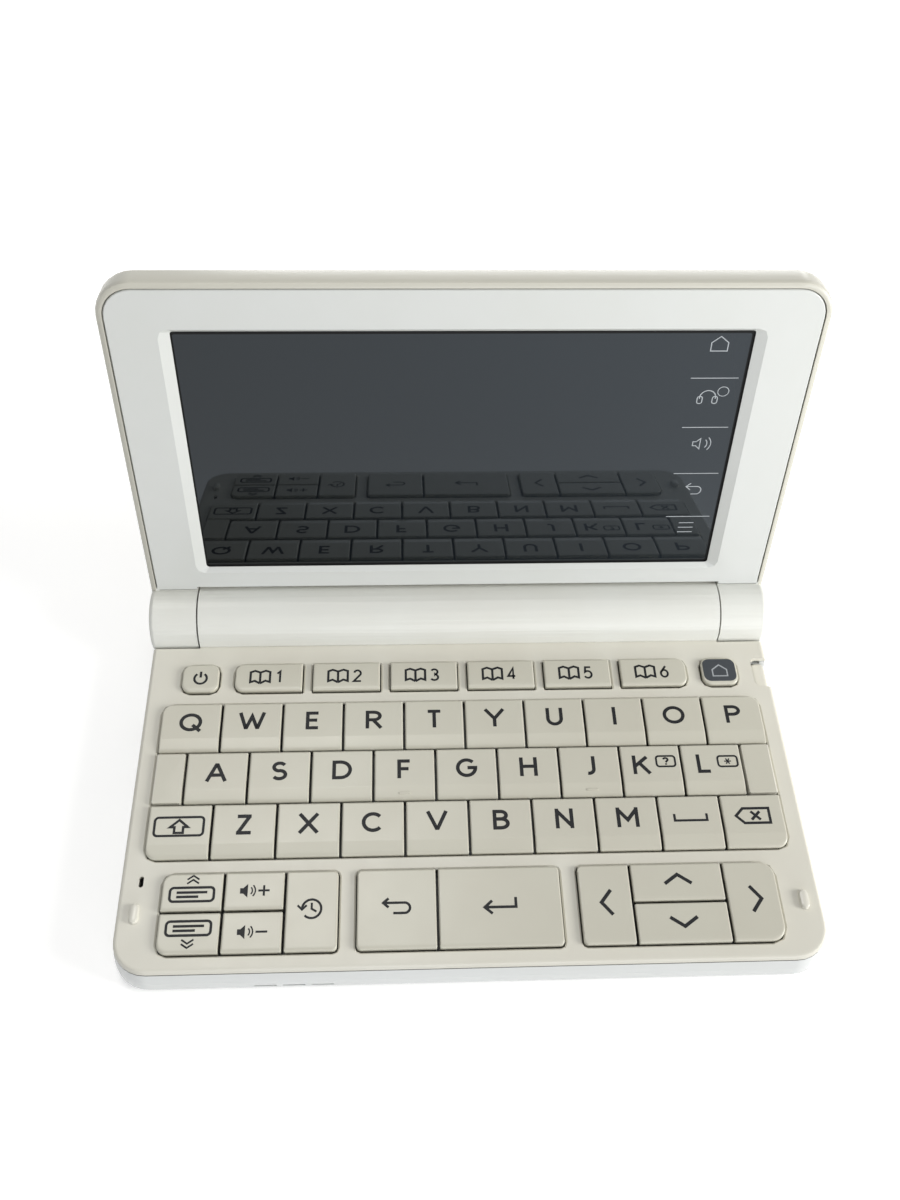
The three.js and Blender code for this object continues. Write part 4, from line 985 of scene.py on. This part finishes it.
def open_book(cx, cy, width, height, pen):
    w, h = width / 2, height / 2
    left = [(0, h * 0.72), (-w * 0.55, h), (-w, h * 0.78), (-w, -h * 0.8), (-w * 0.55, -h * 0.58)]
    left.append((0, -h))
    right = [(-x, y) for x, y in left]
    spine = [(0, h * 0.72), (0, -h)]
    return [(moved(points, cx, cy), pen, False) for points in (left, right, spine)]


print("a loudspeaker, a book and six numbers are ready")

# %% Signs that come in sets
THIN = 0.56  # mm, the pen of most signs
FINE = 0.38
SMALL = 0.45
CONE_PEN = 0.42
WAVE_PEN = 0.3
NUMBER_PEN = 0.5


def heading_sign(middle, heading):
    """A block of text round a middle, and two chevrons beyond it on the side of the heading."""
    block = [
        (box_outline(0, middle, 9.2, 3.0), THIN, True),
        ([(-3.2, middle + 0.45), (3.2, middle + 0.45)], THIN, False),
        ([(-3.2, middle - 0.5), (1.4, middle - 0.5)], THIN, False),
    ]
    beyond = (2.8, 3.7) if heading == "up" else (-2.8, -3.7)
    marks = [chevron(0.05, middle + away, 2.5, 0.85, heading, FINE) for away in beyond]
    return marks + block if heading == "up" else block + marks


def volume_sign(louder):
    marks = loudspeaker(-2.1, 0, 1.4, CONE_PEN, WAVE_PEN, solid=True)
    marks.append(([(0.8, 0), (3.2, 0)], SMALL, False))
    if louder:
        marks.append(([(2.0, -1.15), (2.0, 1.15)], SMALL, False))
    return marks


def content_sign(number):
    return open_book(-2.0, 0, 4.6, 3.5, THIN) + digit(number, 2.6, 0, 1.7, 3.0, NUMBER_PEN)


print("a text line is", THIN, "mm thick")

# %% The sign of every other key
CROSS_OUT_PEN = 0.62
SPACE_PEN = 0.55
CLOCK_PEN = 0.5
ENTER_PEN = 0.6
BOLD = 0.76

shift_arrow = [(-1.9, 1.0), (0, 2.65), (1.9, 1.0), (0.95, 1.0), (0.95, -0.35), (-0.95, -0.35)]
shift_arrow.append((-0.95, 1.0))
delete_label = [(-3.9, 1.15), (-2.2, 2.9), (3.6, 2.9), (3.6, -0.6), (-2.2, -0.6)]

signs = {
    "key_power": [
        (arc(0, -0.15, 1.45, 1.45, 125, 415, 24), THIN, False),
        ([(0, 1.75), (0, 0.1)], THIN, False),
    ],
    "key_shift": [(box_outline(0, 1.15, 10.6, 4.3), THIN, True), (shift_arrow, THIN, True)],
    "key_space": [([(-3.6, 1.9), (-3.6, 0.3), (3.6, 0.3), (3.6, 1.9)], SPACE_PEN, False)],
    "key_delete": [
        (delete_label, CROSS_OUT_PEN, True),
        ([(-0.5, 2.15), (1.5, 0.15)], CROSS_OUT_PEN, False),
        ([(-0.5, 0.15), (1.5, 2.15)], CROSS_OUT_PEN, False),
    ],
    "key_previous_heading": heading_sign(-0.55, "up"),
    "key_next_heading": heading_sign(1.05, "down"),
    "key_volume_up": volume_sign(louder=True),
    "key_volume_down": volume_sign(louder=False),
    "key_history": [
        (arc(0, 0.3, 2.0, 2.0, 175, -135, 28), CLOCK_PEN, False),
        ([(0, 1.6), (0, 0.3), (1.05, -0.35)], SMALL, False),
        ([(-2.95, 1.1), (-2.0, 0.15), (-1.05, 1.1)], SMALL, False),
    ],
    "key_back": return_arrow(0, 0.3, 5.6, 3.6, SPACE_PEN),
    "key_enter": [
        ([(3.3, 1.9), (3.3, -0.2), (-3.2, -0.2)], ENTER_PEN, False),
        ([(-1.7, 1.2), (-3.3, -0.2), (-1.7, -1.6)], ENTER_PEN, False),
    ],
    "key_left": [chevron(0.1, 0.3, 2.2, 5.4, "left", BOLD)],
    "key_right": [chevron(0.5, 0.4, 2.2, 5.6, "right", BOLD)],
    "key_up": [chevron(0.1, 0.6, 5.8, 2.0, "up", BOLD)],
    "key_down": [chevron(0.2, 0.1, 5.8, 2.0, "down", BOLD)],
}
for number in range(1, 7):
    signs[f"key_content_{number}"] = content_sign(number)
print(len(signs), "signs")

# %% Small marks beside K and L
FRAME_CORNER = 0.65
ASTERISK_REACH = 0.78


def boxed_question_mark(cx, cy):
    hook = [*arc(cx, cy + 0.4, 0.5, 0.4, 170, -60, 10), (cx, cy - 0.3)]
    return [
        (box_outline(cx, cy, 4.3, 2.65, FRAME_CORNER), SMALL, True),
        (hook, SMALL, False),
        ([(cx, cy - 0.55), (cx, cy - 0.9)], SMALL, False),
    ]


def boxed_asterisk(cx, cy):
    marks = [(box_outline(cx, cy, 4.5, 2.65, FRAME_CORNER), SMALL, True)]
    for angle in (0, 60, 120):
        dx = ASTERISK_REACH * math.cos(math.radians(angle))
        dy = ASTERISK_REACH * math.sin(math.radians(angle))
        marks.append(([(cx - dx, cy - dy), (cx + dx, cy + dy)], WAVE_PEN, False))
    return marks


small_marks = {"k": boxed_question_mark(3.4, 2.1), "l": boxed_asterisk(3.6, 1.85)}
print(len(small_marks), "letters have a small mark")

# %% [markdown]
# ## Ink on every cap
#
# The letters stand a little behind the middle of their caps, clear of the sloped front, and those of
# K and L move to the left, to make room for the small mark. A legend is one piece of its own that
# rides on its key, so it sinks with it.

# %% Print every cap
LETTER_RISE = 1.33  # mm that the letters stand behind the middle of their keys
letter_shift = {"k": -2.3, "l": -1.9}  # mm, to make room for the small mark


def print_on_cap(name, strokes, key_name, material=ink, rise=0.0):
    """Print round the middle of a cap, a rise in mm above its top."""
    x0, x1, y0, y1, top = caps[key_name]
    cx, cy = (x0 + x1) / 2, (y0 + y1) / 2

    def on_cap(x, y, lift):
        return mm(cx + x, cy + y, top + rise + lift)

    print_marks(name, strokes, on_cap, material, key_name)


def run_on(end, inner):
    """Lengthen a stroke by half a pen beyond its end."""
    end, inner = Vector(end), Vector(inner)
    return tuple(end + (end - inner).normalized() * PEN / 2)


def upright_end(end, inner, height):
    """True at the foot (0) or the head (1) of a letter if the stroke is more upright than level."""
    return height in (0, 1) and abs(end[1] - inner[1]) > abs(end[0] - inner[0])


def letter_stroke(points, width, shift):
    """A centre line in shares of the cell becomes a stroke in millimetres."""
    laid = [(shift + (x - 0.5) * width, LETTER_RISE + (y - 0.5) * CAP_HEIGHT) for x, y in points]
    if upright_end(laid[0], laid[1], points[0][1]):
        laid[0] = run_on(laid[0], laid[1])
    if upright_end(laid[-1], laid[-2], points[-1][1]):
        laid[-1] = run_on(laid[-1], laid[-2])
    closed = math.dist(points[0], points[-1]) < SAME
    return laid[:-1] if closed else laid, PEN, closed


for letter, (width, shapes) in letter_shapes.items():
    shift = letter_shift.get(letter, 0.0)
    strokes = [letter_stroke(points, width, shift) for points in shapes]
    strokes += small_marks.get(letter, [])
    print_on_cap(f"legend_{letter}", strokes, f"key_{letter}")
for key_name, strokes in signs.items():
    print_on_cap(key_name.replace("key_", "sign_"), strokes, key_name)
print("printed", len(letter_shapes) + len(signs), "caps")

# %% [markdown]
# ## The home key
#
# This key is moulded in two shots: a pale frame like its neighbours and a dark, glossy middle with a
# house in a thin pale line. The cap could be painted in two colours, but the second shot has its own
# rounded edge, so a dark plate stands a little proud of the pale cap.

# %% Dark middle and house
HOME_FRAME = 0.34  # mm of the pale frame that shows
HOME_RISE = 0.06
HOME_SUNK = 0.2
HOUSE_PEN = 0.3

x0, x1, y0, y1, top = caps["key_home"]
front = y0 + HOME_FRAME * FRONT_STRETCH
plate_on_key(
    "key_home",
    "home_middle",
    (x0 + HOME_FRAME, x1 - HOME_FRAME, front, y1 - HOME_FRAME),
    ROUND - HOME_FRAME,
    top - HOME_SUNK,
    top + HOME_RISE,
    dark_cap,
)
home_sign = house(0, 0.05, 3.5, 3.1, HOUSE_PEN)
print_on_cap("sign_home", home_sign, "key_home", strip_print, HOME_RISE)
print("home key dressed")

# %% [markdown]
# ## The display
#
# The lid's own plane is easiest to draw in: x across, t up from the hinge axis and a lift out of
# the face. The hinge joint says where the axis is. The sleeping panel lies inside a narrow black
# mask, and the touch marks stand in a column at its right, printed thin and pale.

# %% Draw in the plane of the lid
OPEN_ANGLE = math.radians(102.7)
GLASS_LIFT = -2.21  # mm from the plane of the hinge axis
lid_up = Vector((0, -math.cos(OPEN_ANGLE), math.sin(OPEN_ANGLE)))
lid_out = Vector((0, -math.sin(OPEN_ANGLE), -math.cos(OPEN_ANGLE)))


def on_glass(x, t, lift):
    across = hinge_place + Vector((x * MM, 0, 0))
    return across + lid_up * t * MM + lid_out * (GLASS_LIFT + lift) * MM


print("lid leans back by", round(math.degrees(OPEN_ANGLE) - 90, 1), "degrees")

# %% Sleeping panel
VIEW_LEFT = -60.35  # mm
VIEW_RIGHT = 59.3
VIEW_LOW = 15.5
VIEW_HIGH = 76.35
VIEW_CORNER = 0.4

panel_outline = rounded(VIEW_LEFT, VIEW_RIGHT, VIEW_LOW, VIEW_HIGH, (VIEW_CORNER,) * 4, 3)
print_marks("viewing_area", [(panel_outline, 0, True)], on_glass, panel_glass_with_painted_light, "lid")
print("viewing area", round(VIEW_RIGHT - VIEW_LEFT), "by", round(VIEW_HIGH - VIEW_LOW), "mm")

# %% Touch marks
MARK = 0.22  # mm, the pen of the touch marks
BUBBLE_PEN = 0.176
DIVIDER_PEN = 0.2
COLUMN = 52.9  # mm from the middle of the lid
MARK_LIFT = 0.01
dividers = (65.7, 53.3, 40.9, 28.6)  # mm up from the hinge axis
text_lines = (25.4, 26.75, 24.05)

home_mark = house(COLUMN, 73.9, 3.55, 3.4, MARK)
divider_lines = [([(48.0, height), (58.3, height)], DIVIDER_PEN, False) for height in dividers]
headphone_mark = [
    (arc(52.4, 60.9, 1.75, 1.75, -10, 190, 16), MARK, False),
    (box_outline(50.75, 60.3, 1.1, 1.75, 0.45), MARK, True),
    (box_outline(54.05, 60.3, 1.1, 1.75, 0.45), MARK, True),
    (arc(55.6, 62.4, 1.2, 1.15, 0, 342, 20), BUBBLE_PEN, True),
]
speaker_mark = loudspeaker(52.0, 49.0, 1.9, MARK, MARK)
return_mark = return_arrow(53.2, 36.4, 3.6, 3.4, MARK)
list_mark = [([(51.3, height), (54.8, height)], MARK, False) for height in text_lines]

strip = home_mark + divider_lines + headphone_mark + speaker_mark + return_mark + list_mark
print_marks(
    "touch_marks",
    strip,
    lambda x, t, lift: on_glass(x, t, lift + MARK_LIFT),
    strip_print,
    "lid",
)
print(len(strip), "strokes in the touch column")

# %% [markdown]
# ## The seam
#
# Where the deck's skirt meets the lower case, a gap of 0.3 mm runs round the front and the left
# side. Light reaches too far into it, so its shade is laid over it as a thin band. The band could be
# drawn by hand, but then it would miss the corners by a little. It follows the outline that the deck
# itself has at that height: the hull of the deck's own corners there, cut where the line fades.

# %% The deck's outline at the seam
SKIRT = 1.25  # mm from the deck down to the seam
SKIRT_SLACK = 0.05
BARREL_GAP = 2.0  # mm in front of the barrel that are left out
SEAM_END = -60.0  # mm from the hinge axis, where the line stops on the right

seam_z = deck_top - SKIRT
line_end = axis.y + SEAM_END
deck = nodes["upper_case"]
corners = [deck.matrix_world @ vert.co / MM for vert in deck.data.vertices]
at_seam = [
    corner.xy
    for corner in corners
    if abs(corner.z - seam_z) < SKIRT_SLACK and corner.y < barrel_line - BARREL_GAP
]
outline = [at_seam[i] for i in convex_hull_2d(at_seam)]
rear_left = max(range(len(outline)), key=lambda i: outline[i].y - outline[i].x)
outline = outline[rear_left:] + outline[:rear_left]
rear_right = next(i for i, corner in enumerate(outline) if corner.x > 0 and corner.y > line_end)
print("the seam turns at", rear_right, "corners")

# %% A line along the seam
SEAM_WIDTH = 0.34  # mm
SEAM_LIFT = 0.03

skin = bmesh.new()
rows = []
for sides in ribbon(outline[:rear_right], 2 * SEAM_LIFT, False):
    outer = max(sides, key=lambda corner: (corner - Vector((0, line_end))).length)
    rows.append([skin.verts.new(mm(*outer, seam_z - drop)) for drop in (0, SEAM_WIDTH)])
for (a, b), (c, d) in zip(rows, rows[1:]):
    skin.faces.new((a, c, d, b))
place_moulding("seam_shade", skin, shade, "base")
print("seam line through", len(rows), "points")

# %% [markdown]
# ## Screws
#
# Four small screws hold the two cases together. They sit in the wells of the underside: a low pan
# head with a cross recess. The head is a stack of discs like the caps are stacks of outlines. A
# recess could be cut, but in a well it is only seen as a dark cross, so two dark bars are laid a hair
# below the head's face.

# %% Four screw heads
SCREW_X = 51.6  # mm from the middle
SCREW_ROWS = (-71.9, -22.0)  # mm from the hinge axis
SCREW_RADIUS = 1.15
SCREW_FACE = 0.75  # mm above the floor
SCREW_SEAT = 1.6
CROSS = 0.65  # half a bar of the cross
CROSS_PEN = 0.32
DISC_STEPS = 28
# share of the radius and mm above the face, from the face up to the seat
HEAD_PROFILE = ((0.62, 0.0), (0.86, 0.08), (1.0, 0.3), (1.0, SCREW_SEAT - SCREW_FACE))


def disc(cx, cy, radius):
    return arc(cx, cy, radius, radius, 0, 360, DISC_STEPS)[:-1]


def screw(name, cx, cy):
    rings = [(disc(cx, cy, share * SCREW_RADIUS), SCREW_FACE + up) for share, up in HEAD_PROFILE]
    place_moulding(f"{name}_head", stack(rings), steel, "base")
    bars = [([(-CROSS, 0), (CROSS, 0)], CROSS_PEN, False)]
    bars.append(([(0, -CROSS), (0, CROSS)], CROSS_PEN, False))
    print_marks(
        f"{name}_cross",
        bars,
        lambda x, y, lift: mm(cx + x, cy + y, SCREW_FACE - lift),
        ink,
        "base",
    )


for side, side_name in ((-1, "left"), (1, "right")):
    for row, along in enumerate(SCREW_ROWS, start=1):
        screw(f"screw_{side_name}_{row}", side * SCREW_X, axis.y + along)
print("four screws")
